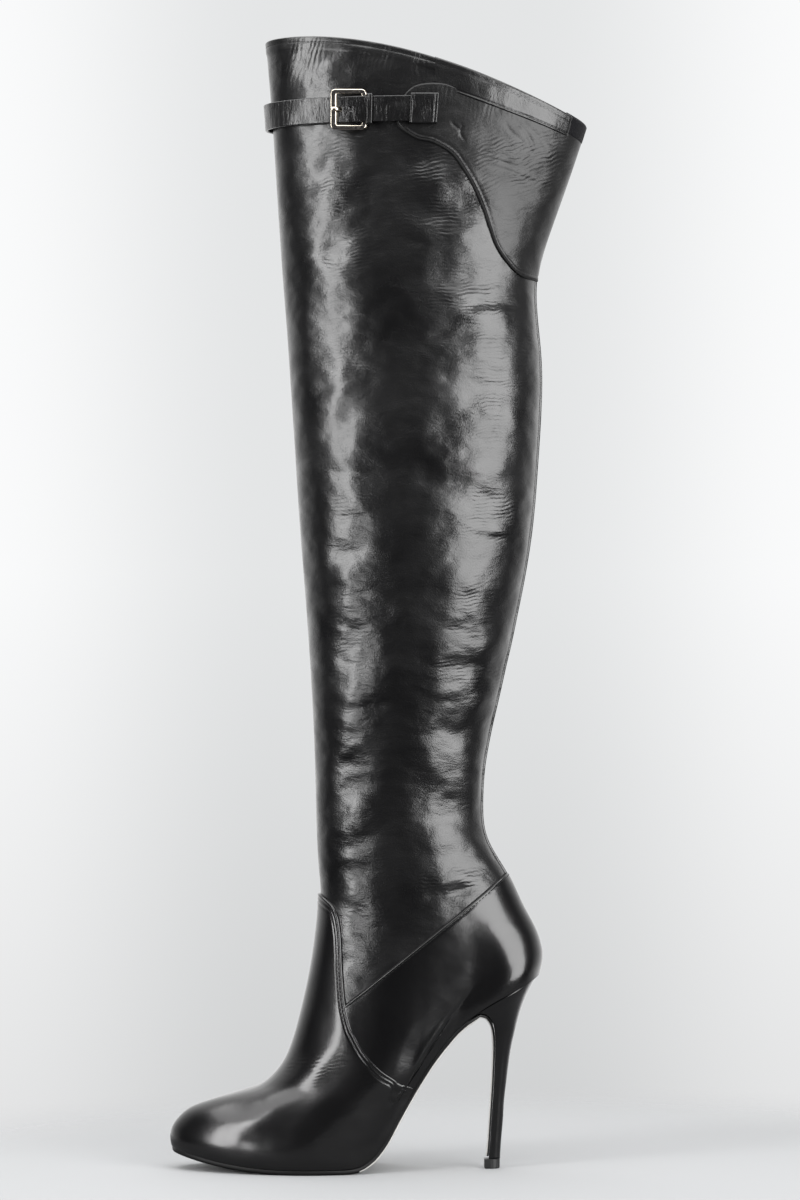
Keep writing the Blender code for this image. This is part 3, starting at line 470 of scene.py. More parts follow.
def smoothLine(points, count):
    # even steps along a Catmull-Rom line through the points
    points = np.asarray(points, float)
    padded = np.vstack((2 * points[0] - points[1], points, 2 * points[-1] - points[-2]))
    fine = []
    for i in range(1, len(padded) - 2):
        a, b, c, d = padded[i - 1:i + 3]
        for t in np.linspace(0, 1, 24, endpoint=False):
            fine.append(0.5 * (2 * b + (c - a) * t + (2 * a - 5 * b + 4 * c - d) * t**2
                               + (3 * b - a - 3 * c + d) * t**3))
    fine.append(points[-1])
    return evenSteps(np.array(fine), count)


def evenPlaces(places, count):
    # the same seam in even steps of its true length
    fine = evenSteps(places, 8 * count)
    run = runAlong(skin(fine[:, 0], fine[:, 1]))
    return readAlong(fine, run, np.linspace(0, run[-1], count))


def bothSides(line, count, end="front"):
    # a seam drawn from the side, as angles and levels from the outer side round that end to the inner
    line = smoothLine(line, count)
    outerAngle, outerV = placeFromSide(line[:, 0], line[:, 1], 1)
    innerAngle, innerV = placeFromSide(line[:, 0], line[:, 1], -1)
    whole = 0 if end == "front" else 2 * math.pi
    angle = np.concatenate((outerAngle, whole - innerAngle[::-1]))
    return evenPlaces(np.stack((angle, np.concatenate((outerV, innerV[::-1]))), axis=1), 2 * count)


def gridPiece(name, points, finish, base=None, angle=None, second=None):
    # a bmesh grid of columns by rows, each vertex put in its place on the boot
    columns, rows = points.shape[:2]
    bm = bmesh.new()
    bmesh.ops.create_grid(bm, x_segments=columns - 1, y_segments=rows - 1, size=1.0)
    if second is not None:
        for face in bm.faces:
            place = face.calc_center_median()
            face.material_index = int(second((place.x + 1) / 2 * (columns - 1), (place.y + 1) / 2 * (rows - 1)))
    crinkleLayer = bm.verts.layers.float.new("crinkle")
    pleatLayer = bm.verts.layers.float.new("pleat")
    if base is not None:
        crinkle, pleat = spotted(crinkleSpots, base, angle), spotted(pleatSpots, base, angle)
    for vert in bm.verts:
        i = round((vert.co.x + 1) / 2 * (columns - 1))
        j = round((vert.co.y + 1) / 2 * (rows - 1))
        vert.co = points[i, j]
        if base is not None:
            vert[crinkleLayer] = crinkle[i, j]
            vert[pleatLayer] = pleat[i, j]
    bmesh.ops.remove_doubles(bm, verts=bm.verts, dist=1e-6)
    return pieceFrom(name, bm, finish)


def pieceFrom(name, bm, finish):
    mesh = bpy.data.meshes.new(name)
    bm.to_mesh(mesh)
    bm.free()
    piece = bpy.data.objects.new(name, mesh)
    scene.collection.objects.link(piece)
    for each in finish if isinstance(finish, (list, tuple)) else [finish]:
        mesh.materials.append(each)
    mesh.shade_smooth()
    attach(piece, "root")
    return piece


def faceOut(piece, places, outward):
    # turns the faces round where they point against the boot's own way out
    mesh = piece.data
    middle = len(mesh.polygons) // 2
    spot = np.array(mesh.polygons[middle].center)
    way = np.array(mesh.polygons[middle].normal)
    nearest = np.argmin(np.linalg.norm(places.reshape(-1, 3) - spot, axis=1))
    if np.dot(way, outward.reshape(-1, 3)[nearest]) < 0:
        mesh.flip_normals()


def capEnds(piece):
    # closes the open ends of a strip, cord or tube
    bm = bmesh.new()
    bm.from_mesh(piece.data)
    bmesh.ops.remove_doubles(bm, verts=bm.verts, dist=1e-6)
    edges = [edge for edge in bm.edges if edge.is_boundary]
    bmesh.ops.holes_fill(bm, edges=edges, sides=0)
    bmesh.ops.recalc_face_normals(bm, faces=bm.faces)
    bm.to_mesh(piece.data)
    bm.free()
    piece.data.shade_smooth()


def stitchRow(name, line, outward, finish, pitch=2.6 * mm, length=1.9 * mm, thick=0.45 * mm, sink=0.1 * mm):
    # thread along a line of points: one short rounded length for each stitch
    run = runAlong(line)
    count = max(int(run[-1] / pitch), 1)
    at = (np.arange(count) + 0.5) * run[-1] / count
    spots = readAlong(line, run, at)
    ways = unit(readAlong(line, run, at + pitch / 4) - readAlong(line, run, at - pitch / 4))
    outs = unit(readAlong(outward, run, at))
    bm = bmesh.new()
    for spot, way, out in zip(spots, ways, outs):
        turn = Vector(way).to_track_quat("Z", "Y").to_matrix().to_4x4()
        place = Matrix.Translation(Vector(spot - out * sink)) @ turn
        made = bmesh.ops.create_cone(bm, cap_ends=True, segments=6, radius1=thick / 2, radius2=thick / 2,
                                     depth=length * 0.6, matrix=place)
        touching = dict.fromkeys(face for vert in made["verts"] for face in vert.link_faces)
        ends = [face for face in touching if len(face.verts) == 6]
        for end in ends:
            cap = bmesh.ops.extrude_discrete_faces(bm, faces=[end])["faces"][0]
            middle = cap.calc_center_median()
            for vert in cap.verts:
                vert.co = middle + (vert.co - middle) * 0.45 + cap.normal * length * 0.2
    return pieceFrom(name, bm, finish)


def newFinish(name, colour, roughness, metallic=0.0, coat=0.0, coatRoughness=0.1, specular=0.5):
    made = bpy.data.materials.new(name)
    made.use_nodes = True
    shader = made.node_tree.nodes["Principled BSDF"]
    shader.inputs["Base Color"].default_value = (*colour, 1)
    shader.inputs["Roughness"].default_value = roughness
    shader.inputs["Metallic"].default_value = metallic
    shader.inputs["Coat Weight"].default_value = coat
    shader.inputs["Coat Roughness"].default_value = coatRoughness
    shader.inputs["Specular IOR Level"].default_value = specular
    return made, made.node_tree, shader


def addNode(tree, kind, **sockets):
    node = tree.nodes.new(kind)
    for key, value in sockets.items():
        node.inputs[key.replace("_", " ")].default_value = value
    return node


def objectSpace(tree, scale=(1, 1, 1)):
    coords = tree.nodes.new("ShaderNodeTexCoord")
    mapping = tree.nodes.new("ShaderNodeMapping")
    mapping.inputs["Scale"].default_value = scale
    tree.links.new(coords.outputs["Object"], mapping.inputs["Vector"])
    return mapping.outputs["Vector"]


def spread(tree, value, low, high, fromLow=0.0, fromHigh=1.0):
    node = tree.nodes.new("ShaderNodeMapRange")
    tree.links.new(value, node.inputs["Value"])
    node.inputs["From Min"].default_value = fromLow
    node.inputs["From Max"].default_value = fromHigh
    node.inputs["To Min"].default_value = low
    node.inputs["To Max"].default_value = high
    return node.outputs["Result"]


def noise(tree, place, **settings):
    node = addNode(tree, "ShaderNodeTexNoise", **settings)
    tree.links.new(place, node.inputs["Vector"])
    return node.outputs["Fac"]


def blended(tree, share, first, second):
    # a colour between two others
    node = tree.nodes.new("ShaderNodeMix")
    node.data_type = "RGBA"
    node.inputs["A"].default_value = (*first, 1)
    node.inputs["B"].default_value = (*second, 1)
    tree.links.new(share, node.inputs["Factor"])
    return node.outputs["Result"]


def multiplied(tree, first, second):
    node = tree.nodes.new("ShaderNodeMath")
    node.operation = "MULTIPLY"
    tree.links.new(first, node.inputs[0])
    tree.links.new(second, node.inputs[1])
    return node.outputs["Value"]


creaseLook = {
    "distortion": 11.0,
    "detail": 2.5,
    "detailRoughness": 0.6,
    "bends": 50.0,
    "patchScale": 75.0,
    "patchRange": (0.15, 1.25, 0.38, 0.62),
    "pleatTurn": 78,
    "pleatSpacing": 3.0 * mm,
}


def creased(tree, turn, spacing, attribute):
    # wavy wrinkles in broken patches, as strong as the piece's own attribute
    coords = tree.nodes.new("ShaderNodeTexCoord")
    mapping = tree.nodes.new("ShaderNodeMapping")
    mapping.inputs["Rotation"].default_value = (0, math.radians(turn), 0)
    tree.links.new(coords.outputs["Object"], mapping.inputs["Vector"])
    scale = math.pi / (10 * spacing)
    wave = addNode(tree, "ShaderNodeTexWave", Scale=scale, Distortion=creaseLook["distortion"],
                   Detail=creaseLook["detail"], Detail_Scale=creaseLook["bends"] / scale,
                   Detail_Roughness=creaseLook["detailRoughness"])
    wave.bands_direction = "Z"
    tree.links.new(mapping.outputs["Vector"], wave.inputs["Vector"])
    amount = tree.nodes.new("ShaderNodeAttribute")
    amount.attribute_name = attribute
    patches = noise(tree, coords.outputs["Object"], Scale=creaseLook["patchScale"], Detail=1.0)
    creases = multiplied(tree, wave.outputs["Fac"], amount.outputs["Fac"])
    return multiplied(tree, creases, spread(tree, patches, *creaseLook["patchRange"]))


def bumped(tree, height, strength, distance, before=None):
    bump = addNode(tree, "ShaderNodeBump", Strength=strength, Distance=distance)
    tree.links.new(height, bump.inputs["Height"])
    if before is not None:
        tree.links.new(before, bump.inputs["Normal"])
    return bump.outputs["Normal"]


def leather(name, look):
    finish, tree, shader = newFinish(name, look["colour"], look["roughness"], coat=look["coat"],
                                     coatRoughness=look["coatRoughness"], specular=look["specular"])
    link = tree.links.new
    place = objectSpace(tree)
    grain = addNode(tree, "ShaderNodeTexVoronoi", Scale=look["grainScale"])
    link(place, grain.inputs["Vector"])
    cloud = noise(tree, place, Scale=look["cloudScale"], Detail=3.0)
    wrinkle = noise(tree, objectSpace(tree, look["wrinkleStretch"]), Scale=look["wrinkleScale"], Detail=4.0,
                    Roughness=0.6, Distortion=0.6)
    swell = noise(tree, objectSpace(tree, look["swellStretch"]), Scale=look["swellScale"], Detail=1.5,
                  Roughness=0.4)
    link(spread(tree, cloud, look["roughness"] - look["roughSpread"], look["roughness"] + look["roughSpread"],
                0.3, 0.7), shader.inputs["Roughness"])
    darker = [c * 0.7 for c in look["colour"]]
    lighter = [c * 1.4 for c in look["colour"]]
    link(blended(tree, cloud, darker, lighter), shader.inputs["Base Color"])
    normal = bumped(tree, swell, 1.0, look["swellHeight"])
    normal = bumped(tree, wrinkle, look["wrinkleStrength"], look["wrinkleHeight"], normal)
    if look["creaseStrength"]:
        for turn, spacing, attribute in ((look["creaseTurn"], look["creaseSpacing"], "crinkle"),
                                         (creaseLook["pleatTurn"], creaseLook["pleatSpacing"], "pleat")):
            creases = creased(tree, turn, spacing, attribute)
            normal = bumped(tree, creases, look["creaseStrength"], look["creaseHeight"], normal)
    for socket, share in (("Normal", 1.0), ("Coat Normal", 0.5)):
        strength = look["grainStrength"] * share
        fine = bumped(tree, grain.outputs["Distance"], strength, look["grainHeight"], normal)
        link(fine, shader.inputs[socket])
    return finish


calfLook = {
    "colour": (0.0030, 0.0029, 0.0029),
    "roughness": 0.30,
    "roughSpread": 0.05,
    "coat": 0.30,
    "coatRoughness": 0.18,
    "specular": 0.5,
    "grainScale": 1100.0,
    "grainStrength": 0.35,
    "grainHeight": 0.12 * mm,
    "cloudScale": 28.0,
    "wrinkleScale": 95.0,
    "wrinkleStretch": (1.0, 1.0, 2.2),
    "wrinkleStrength": 0.5,
    "wrinkleHeight": 0.5 * mm,
    "swellScale": 42.0,
    "swellStretch": (1.0, 1.0, 1.5),
    "swellHeight": 2.2 * mm,
    "creaseStrength": 0.7,
    "creaseHeight": 0.22 * mm,
    "creaseSpacing": 2.4 * mm,
    "creaseTurn": 5,
}
calf = leather("shaftCalf", calfLook)
polishedCalf = leather("footCalf", dict(calfLook, roughness=0.22, roughSpread=0.03, coat=0.22,
                                        coatRoughness=0.12, grainStrength=0.12, wrinkleStrength=0.14,
                                        cloudScale=18.0, swellHeight=0.5 * mm))
panelCalf = leather("kneePanelCalf", dict(calfLook, roughness=0.38, coat=0.12, specular=0.4, creaseTurn=20,
                                          creaseStrength=0.9))
bandCalf = leather("collarCalf", dict(calfLook, wrinkleStretch=(2.0, 2.0, 1.0), wrinkleScale=110.0))
strapCalf = leather("strapCalf", dict(calfLook, wrinkleStretch=(2.4, 2.4, 0.6), wrinkleScale=150.0,
                                      wrinkleStrength=0.75, wrinkleHeight=0.5 * mm))
liningLeather = leather("liningLeather", dict(calfLook, colour=(0.012, 0.011, 0.010), roughness=0.55, coat=0.0,
                                              wrinkleStrength=0.2))
soleLeather = leather("soleLeather", dict(calfLook, colour=(0.50, 0.49, 0.47), roughness=0.5, coat=0.1,
                                          grainStrength=0.2, wrinkleStrength=0.1, swellHeight=0.0,
                                          creaseStrength=0.0))
soleEdge = leather("soleEdgePaint", dict(calfLook, roughness=0.5, coat=0.0, specular=0.3, wrinkleStrength=0.1,
                                         swellHeight=0.0, creaseStrength=0.0))
thread = leather("threadBlack", dict(calfLook, colour=(0.002, 0.002, 0.002), roughness=0.6, coat=0.0,
                                     specular=0.25, wrinkleStrength=0.0, swellHeight=0.0, creaseStrength=0.0))


def nickelFinish(name, look):
    finish, tree, shader = newFinish(name, look["colour"], look["roughness"], metallic=1.0)
    scratches = noise(tree, objectSpace(tree), Scale=900.0, Detail=3.0)
    tree.links.new(spread(tree, scratches, look["roughness"] * 0.7, look["roughness"] * 1.5, 0.3, 0.7),
                   shader.inputs["Roughness"])
    return finish


def dullFinish(name, look):
    # knit or rubber: dull, with a fine uneven face
    finish, tree, shader = newFinish(name, look["colour"], look["roughness"], specular=look["specular"])
    shader.inputs["Sheen Weight"].default_value = look["sheen"]
    grain = noise(tree, objectSpace(tree), Scale=look["grainScale"], Detail=look["grainDetail"])
    tree.links.new(bumped(tree, grain, look["grainStrength"], look["grainHeight"]), shader.inputs["Normal"])
    return finish


nickel = nickelFinish("paleNickel", {"colour": (0.74, 0.67, 0.56), "roughness": 0.17})
knit = dullFinish("elasticKnit", {"colour": (0.004, 0.004, 0.005), "roughness": 0.95, "specular": 0.12,
                                  "sheen": 0.08, "grainScale": 1600.0, "grainDetail": 2.0,
                                  "grainStrength": 0.9, "grainHeight": 0.5 * mm})
rubber = dullFinish("liftRubber", {"colour": (0.012, 0.012, 0.012), "roughness": 0.45, "specular": 0.5,
                                   "sheen": 0.0, "grainScale": 700.0, "grainDetail": 3.0,
                                   "grainStrength": 0.2, "grainHeight": 0.1 * mm})
print("finishes ready")


upperLook = {
    "columns": 300,
    "sideways": 0.2,
    "rows": 215,
    "rimLevels": 0.22,
    "rimRows": 18,
    "rimRise": 0.8 * mm,
    "insideRows": 60,
    "margin": 8 * mm,
    "foldThick": 0.5 * mm,
    "foldWidth": 7 * mm,
    "foldEdge": 0.4 * mm,
    "stitchDown": 2.5 * mm,
    "grooveHalf": 0.7 * mm,
    "grooveDepth": 0.28 * mm,
}
bandFront, bandBack = 0.715, 1.078


def edgePoint(angle, inward, lift=0.0):
    ahead, behind = lastPoint(angle + 0.01, 0.0), lastPoint(angle - 0.01, 0.0)
    run = ahead - behind
    run[..., 2] = 0
    run = unit(run)
    here = lastPoint(angle, 0.0)
    x = here[..., 0] - run[..., 1] * inward
    y = here[..., 1] + run[..., 0] * inward
    share = (x - toeX) / boot["footLength"]
    slope = (edgeHeight(share + 0.005) - edgeHeight(share - 0.005)) / (0.01 * boot["footLength"])
    square = unit(np.stack((-slope, np.zeros(x.shape), np.ones(x.shape)), axis=-1))
    return np.stack((x, y, edgeHeight(share)), axis=-1) + lift * square


def levelRows(count, low=0.0, high=None):
    # levels in even steps of the boot's own length, measured up its side
    v = np.linspace(low, topLevel if high is None else high, 600)
    run = sum(runAlong(lastPoint(angle, v)) for angle in (0.0, math.pi / 2, math.pi))
    return np.interp(np.linspace(0, run[-1], count), run, v)


def makeUpper():
    # columns stand closer together along the two sides
    turns = np.linspace(0, 2 * math.pi, upperLook["columns"] + 1)
    angles = turns + upperLook["sideways"] * np.sin(2 * turns)
    low = topLevel - upperLook["rimLevels"]
    outerRows = np.concatenate((levelRows(upperLook["rows"], 0.0, low)[:-1],
                                np.linspace(low, topLevel, upperLook["rimRows"])))
    collar = lastPoint(angles, float(topLevel))
    rows = []
    bases = []
    for v in outerRows:
        base = lastPoint(angles, v)
        down = collar[..., 2] - base[..., 2]
        fold = upperLook["foldThick"] / (1 + np.exp((down - upperLook["foldWidth"]) / upperLook["foldEdge"]))
        away = (down - upperLook["stitchDown"]) / upperLook["grooveHalf"]
        rows.append(skin(angles, v, fold - upperLook["grooveDepth"] * np.exp(-away**2)))
        bases.append(base)
    out = lastNormal(angles, float(topLevel))
    middle = (upperLook["foldThick"] - boot["wall"]) / 2
    half = (upperLook["foldThick"] + boot["wall"]) / 2
    up = np.array((0, 0, upperLook["rimRise"]))
    for turn in np.linspace(0, math.pi, 8)[1:]:
        rows.append(collar + out * (middle + half * math.cos(turn)) + up * math.sin(turn))
    insideStart = len(rows) - 1
    for v in levelRows(upperLook["insideRows"])[::-1][1:-1]:
        rows.append(lastPoint(angles, v) - lastNormal(angles, v) * boot["wall"])
    rows.append(edgePoint(angles, boot["wall"], boot["wall"]))
    rows.append(edgePoint(angles, upperLook["margin"], boot["wall"]))
    rows.append(edgePoint(angles, upperLook["margin"]))
    rows.append(skin(angles, 0.0))
    insideEnd = len(rows) - 2
    bases += [collar] * (len(rows) - len(bases))
    points = np.stack(rows, axis=1)

    def lined(column, row):
        return insideStart < row < insideEnd

    upper = gridPiece("bootUpper", points, [calf, liningLeather], base=np.stack(bases, axis=1),
                      angle=np.broadcast_to(angles[:, None], points.shape[:2]), second=lined)
    faceOut(upper, skin(angles[:, None], outerRows[None, :]), lastNormal(angles[:, None], outerRows[None, :]))
    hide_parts("upper")
    frontX = np.array([alongX(bandFront) - 2 * mm])
    frontZ = np.array([collarTop - 0.04 * boot["shaft"]])
    ends = [side * placeFromSide(frontX, frontZ, side)[0][0] for side in (-1, 1)]
    row = np.linspace(ends[0], ends[1], 160)
    v = levelOfHeight(row, lastPoint(row, float(topLevel))[..., 2] - upperLook["stitchDown"])
    line = skin(row, v, upperLook["foldThick"] - 0.2 * mm)
    stitches = stitchRow("frontStitches", line, lastNormal(row, v), thread)


makeUpper()
print("upper made")


def edgeProfile(distance, thick, radius):
    # height of a folded edge at a distance inside it
    t = np.clip(distance / radius, 0, 1)
    return thick * np.sqrt(1 - (1 - t)**2)


def columnPlaces(lower, upper, w, bend=None):
    # places a share w of the way up columns between two seams, straight or bent
    w = w[..., None]
    if bend is None:
        return lower[:, None, :] * (1 - w) + upper[:, None, :] * w
    return lower[:, None, :] * (1 - w)**2 + 2 * bend[:, None, :] * w * (1 - w) + upper[:, None, :] * w**2


def measured(lower, upper, bend=None):
    # true length down each column between two seams, and how slantwise it meets them
    steps = np.linspace(0, 1, 81)
    places = columnPlaces(lower, upper, np.broadcast_to(steps, (len(lower), len(steps))), bend)
    spots = skin(places[..., 0], places[..., 1])
    run = np.stack([runAlong(column) for column in spots])
    return {"steps": steps, "run": run, "length": run[:, -1], "lower": lower, "upper": upper, "bend": bend,
            "lowSlant": slant(spots[:, 0], spots[:, 2]), "highSlant": slant(spots[:, -1], spots[:, -3])}


def slant(seam, inner):
    cosine = np.abs((unit(inner - seam) * unit(np.gradient(seam, axis=0))).sum(axis=1))
    return 1 / np.sqrt(np.maximum(1 - np.minimum(cosine, 0.94)**2, 1e-3))


def sharesAt(lay, distances):
    # shares of the way up each column at distances from its lower end
    return np.stack([np.interp(row, run, lay["steps"]) for row, run in zip(distances, lay["run"])])


def laidPiece(name, lay, look, finish, creases=()):
    # a panel between two seams, with its folded edges, stitched troughs and its own thickness
    length = lay["length"][:, None]
    lowRows = np.array(look["lowRows"])[None, :] * mm * lay["lowSlant"][:, None]
    highRows = np.array(look["highRows"])[None, ::-1] * mm * lay["highSlant"][:, None]
    fit = np.minimum(1.0, length / (lowRows[:, -1:] + highRows[:, :1] + 0.5 * mm))
    lowRows, highRows = lowRows * fit, length - highRows * fit
    between = np.linspace(0, 1, look["rows"] + 2)[None, 1:-1]
    middle = lowRows[:, -1:] + (highRows[:, :1] - lowRows[:, -1:]) * between
    distances = np.concatenate((lowRows, middle, highRows), axis=1)
    w = sharesAt(lay, distances)
    places = columnPlaces(lay["lower"], lay["upper"], w, lay["bend"])
    fromLow = distances / lay["lowSlant"][:, None]
    fromHigh = (length - distances) / lay["highSlant"][:, None]
    out = np.full(w.shape, look["thick"])
    if look["lowFold"]:
        out = np.minimum(out, edgeProfile(fromLow, look["thick"], look["radius"]))
    if look["highFold"]:
        out = np.minimum(out, edgeProfile(fromHigh, look["thick"], look["radius"]))
    # no troughs where the two seams run together
    faded = np.clip((length - 12 * mm) / (14 * mm), 0, 1)
    for distance, half, depth in look["highTroughs"]:
        out = out - faded * depth * np.exp(-((fromHigh - distance) / half)**2)
    for distance, half, depth in look["lowTroughs"]:
        out = out - faded * depth * np.exp(-((fromLow - distance) / half)**2)
    base = lastPoint(places[..., 0], places[..., 1])
    for crease in creases:
        x, z = fromOuterSide(base, places[..., 0])
        out = out + acrossFold(x, z, crease) * mm
    points = skin(places[..., 0], places[..., 1], out)
    piece = gridPiece(name, points, finish, base=base, angle=places[..., 0])
    faceOut(piece, points, lastNormal(places[..., 0], places[..., 1]))
    return piece


def seamStitches(name, lay, distance, out, finish, fromTop=True, skip=0, **sizes):
    # a stitch row at a distance inside the upper or lower seam of a laid piece
    slope = lay["highSlant"] if fromTop else lay["lowSlant"]
    inside = distance * slope
    keep = inside < 0.45 * lay["length"]
    if skip:
        keep[:skip] = False
        keep[-skip:] = False
    up = lay["length"] - inside if fromTop else inside
    w = sharesAt(lay, up[:, None])
    places = columnPlaces(lay["lower"], lay["upper"], w, lay["bend"])[:, 0][keep]
    line = skin(places[:, 0], places[:, 1], out)
    return stitchRow(name, line, lastNormal(places[:, 0], places[:, 1]), finish, **sizes)


def makeCord(name, seam, look, finish):
    # a piped edge: a round cord of leather along a seam
    line = skin(seam[:, 0], seam[:, 1], look["cordOut"])
    run = unit(np.gradient(line, axis=0))
    way = lastNormal(seam[:, 0], seam[:, 1])
    across = unit(np.cross(run, way))
    rings = [line + look["cordRadius"] * (math.cos(turn) * across + math.sin(turn) * way)
             for turn in np.linspace(0, 2 * math.pi, 11)]
    piece = gridPiece(name, np.stack(rings, axis=1), finish)
    capEnds(piece)


vampEdge = [
    (0.317, 0.660), (0.334, 0.630), (0.361, 0.598), (0.393, 0.565), (0.443, 0.531), (0.473, 0.516),
    (0.511, 0.502), (0.549, 0.489), (0.631, 0.475), (0.755, 0.466), (0.814, 0.464), (0.885, 0.461),
    (0.944, 0.454), (0.982, 0.443), (1.003, 0.426), (1.027, 0.403),
]
vampLook = {
    "thick": 1.8 * mm,
    "radius": 0.8 * mm,
    "rows": 70,
    "lowRows": [0, 0.6, 1.5, 3.0],
    "highRows": [0, 0.06, 0.18, 0.4, 0.8, 1.3, 1.8, 2.3, 2.8, 3.3, 3.8, 4.3, 4.8, 5.4, 6.4, 8.0],
    "lowFold": False,
    "highFold": True,
    "highTroughs": [(2.2 * mm, 0.45 * mm, 0.28 * mm), (4.6 * mm, 0.45 * mm, 0.28 * mm)],
    "lowTroughs": [],
    "columns": 420,
    "foot": 0.10,
}


def makeVamp():
    line = [(alongX(along), up * insole) for up, along in vampEdge]
    upper = bothSides(line, vampLook["columns"] // 2)
    turn = np.linspace(-1, 1, len(upper))
    reach = np.where(turn < 0, upper[0, 0], upper[-1, 0]) * np.abs(turn)**1.6
    lower = np.stack((reach, np.full(len(upper), vampLook["foot"])), axis=1)
    bend = np.stack((reach, upper[:, 1]), axis=1)
    lay = measured(lower, upper, bend)
    piece = laidPiece("vampPanel", lay, vampLook, polishedCalf)
    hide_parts("vamp")
    for i, (distance, half, depth) in enumerate(vampLook["highTroughs"]):
        stitches = seamStitches("vampStitches%d" % (i + 1), lay, distance, vampLook["thick"] - depth, thread,
                                skip=12, pitch=2.4 * mm, length=1.8 * mm)


makeVamp()
print("vamp made")

counterLook = {
    "thick": 1.4 * mm,
    "radius": 0.7 * mm,
    "rows": 60,
    "lowRows": [0, 0.8, 2.0],
    "highRows": [0, 0.06, 0.18, 0.4, 0.8, 1.2, 1.6, 2.1, 2.8, 3.6],
    "lowFold": False,
    "highFold": True,
    "highTroughs": [(1.8 * mm, 0.45 * mm, 0.22 * mm)],
    "lowTroughs": [],
    "columns": 360,
    "tip": (0.480, 0.627),
    "foot": 0.10,
    "under": 9 * mm,
    "stitchDown": 1.6 * mm,
    "cordRadius": 0.55 * mm,
    "cordOut": 0.4 * mm,
    "cordFrom": 8,
}


def makeCounter():
    tipX, tipZ = alongX(counterLook["tip"][0]), counterLook["tip"][1] * insole
    backX, backZ = alongX(footLevels[11][2]), boot["heelHeight"] + boot["counter"]
    run = math.hypot(backX - tipX, backZ - tipZ)
    startX = tipX - counterLook["under"] * (backX - tipX) / run
    startZ = tipZ - counterLook["under"] * (backZ - tipZ) / run
    line = [(startX + (backX - startX) * t, startZ + (backZ - startZ) * t) for t in np.linspace(0, 1, 9)]
    upper = bothSides(line, counterLook["columns"] // 2, "back")
    count = len(upper)
    lower = np.stack((np.linspace(upper[0, 0] + 0.25, upper[-1, 0] - 0.25, count),
                      np.full(count, counterLook["foot"])), axis=1)
    lay = measured(lower, upper)
    piece = laidPiece("counterPanel", lay, counterLook, polishedCalf)
    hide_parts("counter")
    stitches = seamStitches("counterStitches", lay, counterLook["stitchDown"], counterLook["thick"] - 0.22 * mm,
                            thread, skip=14, pitch=2.7 * mm, length=2.1 * mm, thick=0.8 * mm)
    seam = upper[counterLook["cordFrom"]:-counterLook["cordFrom"]]
    makeCord("counterSeam", seam, counterLook, thread)


makeCounter()
print("counter made")

panelLower = [
    (0.611, 0.0860), (0.622, 0.0976), (0.648, 0.1052), (0.673, 0.1103), (0.712, 0.1137), (0.761, 0.1248),
    (0.792, 0.1401), (0.823, 0.1605), (0.848, 0.1824), (0.867, 0.2044), (0.885, 0.2230), (0.917, 0.2399),
    (0.954, 0.2518), (1.001, 0.2540),
]
panelNose = [(0.611, 0.0860), (0.617, 0.0750), (0.634, 0.0640), (0.655, 0.0560), (0.685, 0.0520)]
bandEdge = [(0.722, 0.0555), (1.066, 0.1015)]
panelLook = {
    "thick": 1.4 * mm,
    "radius": 0.9 * mm,
    "rows": 60,
    "lowRows": [0, 0.08, 0.2, 0.45, 0.8, 1.2, 1.7, 2.2, 2.8, 3.6, 5.0],
    "highRows": [0, 0.08, 0.2, 0.45, 0.8, 1.2, 1.8, 2.6],
    "lowFold": True,
    "highFold": True,
    "highTroughs": [],
    "lowTroughs": [(2.4 * mm, 0.5 * mm, 0.3 * mm)],
    "columns": 420,
    "cordRadius": 1.0 * mm,
    "cordOut": 0.5 * mm,
    "underBand": 0.006,
}


def fromCollar(rows):
    return [(alongX(along), collarTop - down * boot["shaft"]) for along, down in rows]


def bandLine(along):
    (lowAlong, lowDown), (highAlong, highDown) = bandEdge
    return lowDown + (highDown - lowDown) * (along - lowAlong) / (highAlong - lowAlong)


def makeKneePanel():
    count = panelLook["columns"] // 2
    lower = bothSides(fromCollar(panelLower), count, "back")
    top = [(along, bandLine(along) - panelLook["underBand"]) for along in (0.74, 0.80, 0.88, 0.96, 1.04)]
    upper = bothSides(fromCollar(panelNose + top), count, "back")
    lay = measured(lower, upper)
    piece = laidPiece("kneePanel", lay, panelLook, panelCalf, panelCreases)
    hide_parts("knee_panel")
    distance, half, depth = panelLook["lowTroughs"][0]
    stitches = seamStitches("kneePanelStitches", lay, distance, panelLook["thick"] - depth, thread,
                            fromTop=False, skip=3, pitch=2.8 * mm, length=2.1 * mm)
    makeCord("kneePanelCord", lower, panelLook, thread)


makeKneePanel()
print("knee panel made")

bandLook = {
    "thick": 2.3 * mm,
    "radius": 0.8 * mm,
    "rows": 26,
    "foldDown": 9 * mm,
    "crown": 1.2 * mm,
    "insideGap": 0.5 * mm,
    "tuck": 0.45 * mm,
    "columns": 130,
    "thinning": 26 * mm,
    "thinEnd": 0.52 * mm,
    "endDrop": 0.9 * mm,
    "groove": 0.3 * mm,
    "stitchUp": 1.9 * mm,
    "stitchDown": 2.5 * mm,
    "firstStitchColumn": 38,
}
elasticLook = {
    "thick": 1.7 * mm,
    "radius": 1.7 * mm,
    "foldDown": 10.5 * mm,
    "crown": 2.0 * mm,
    "insideGap": 0.3 * mm,
    "tuck": 0.0,
    "columns": 90,
}


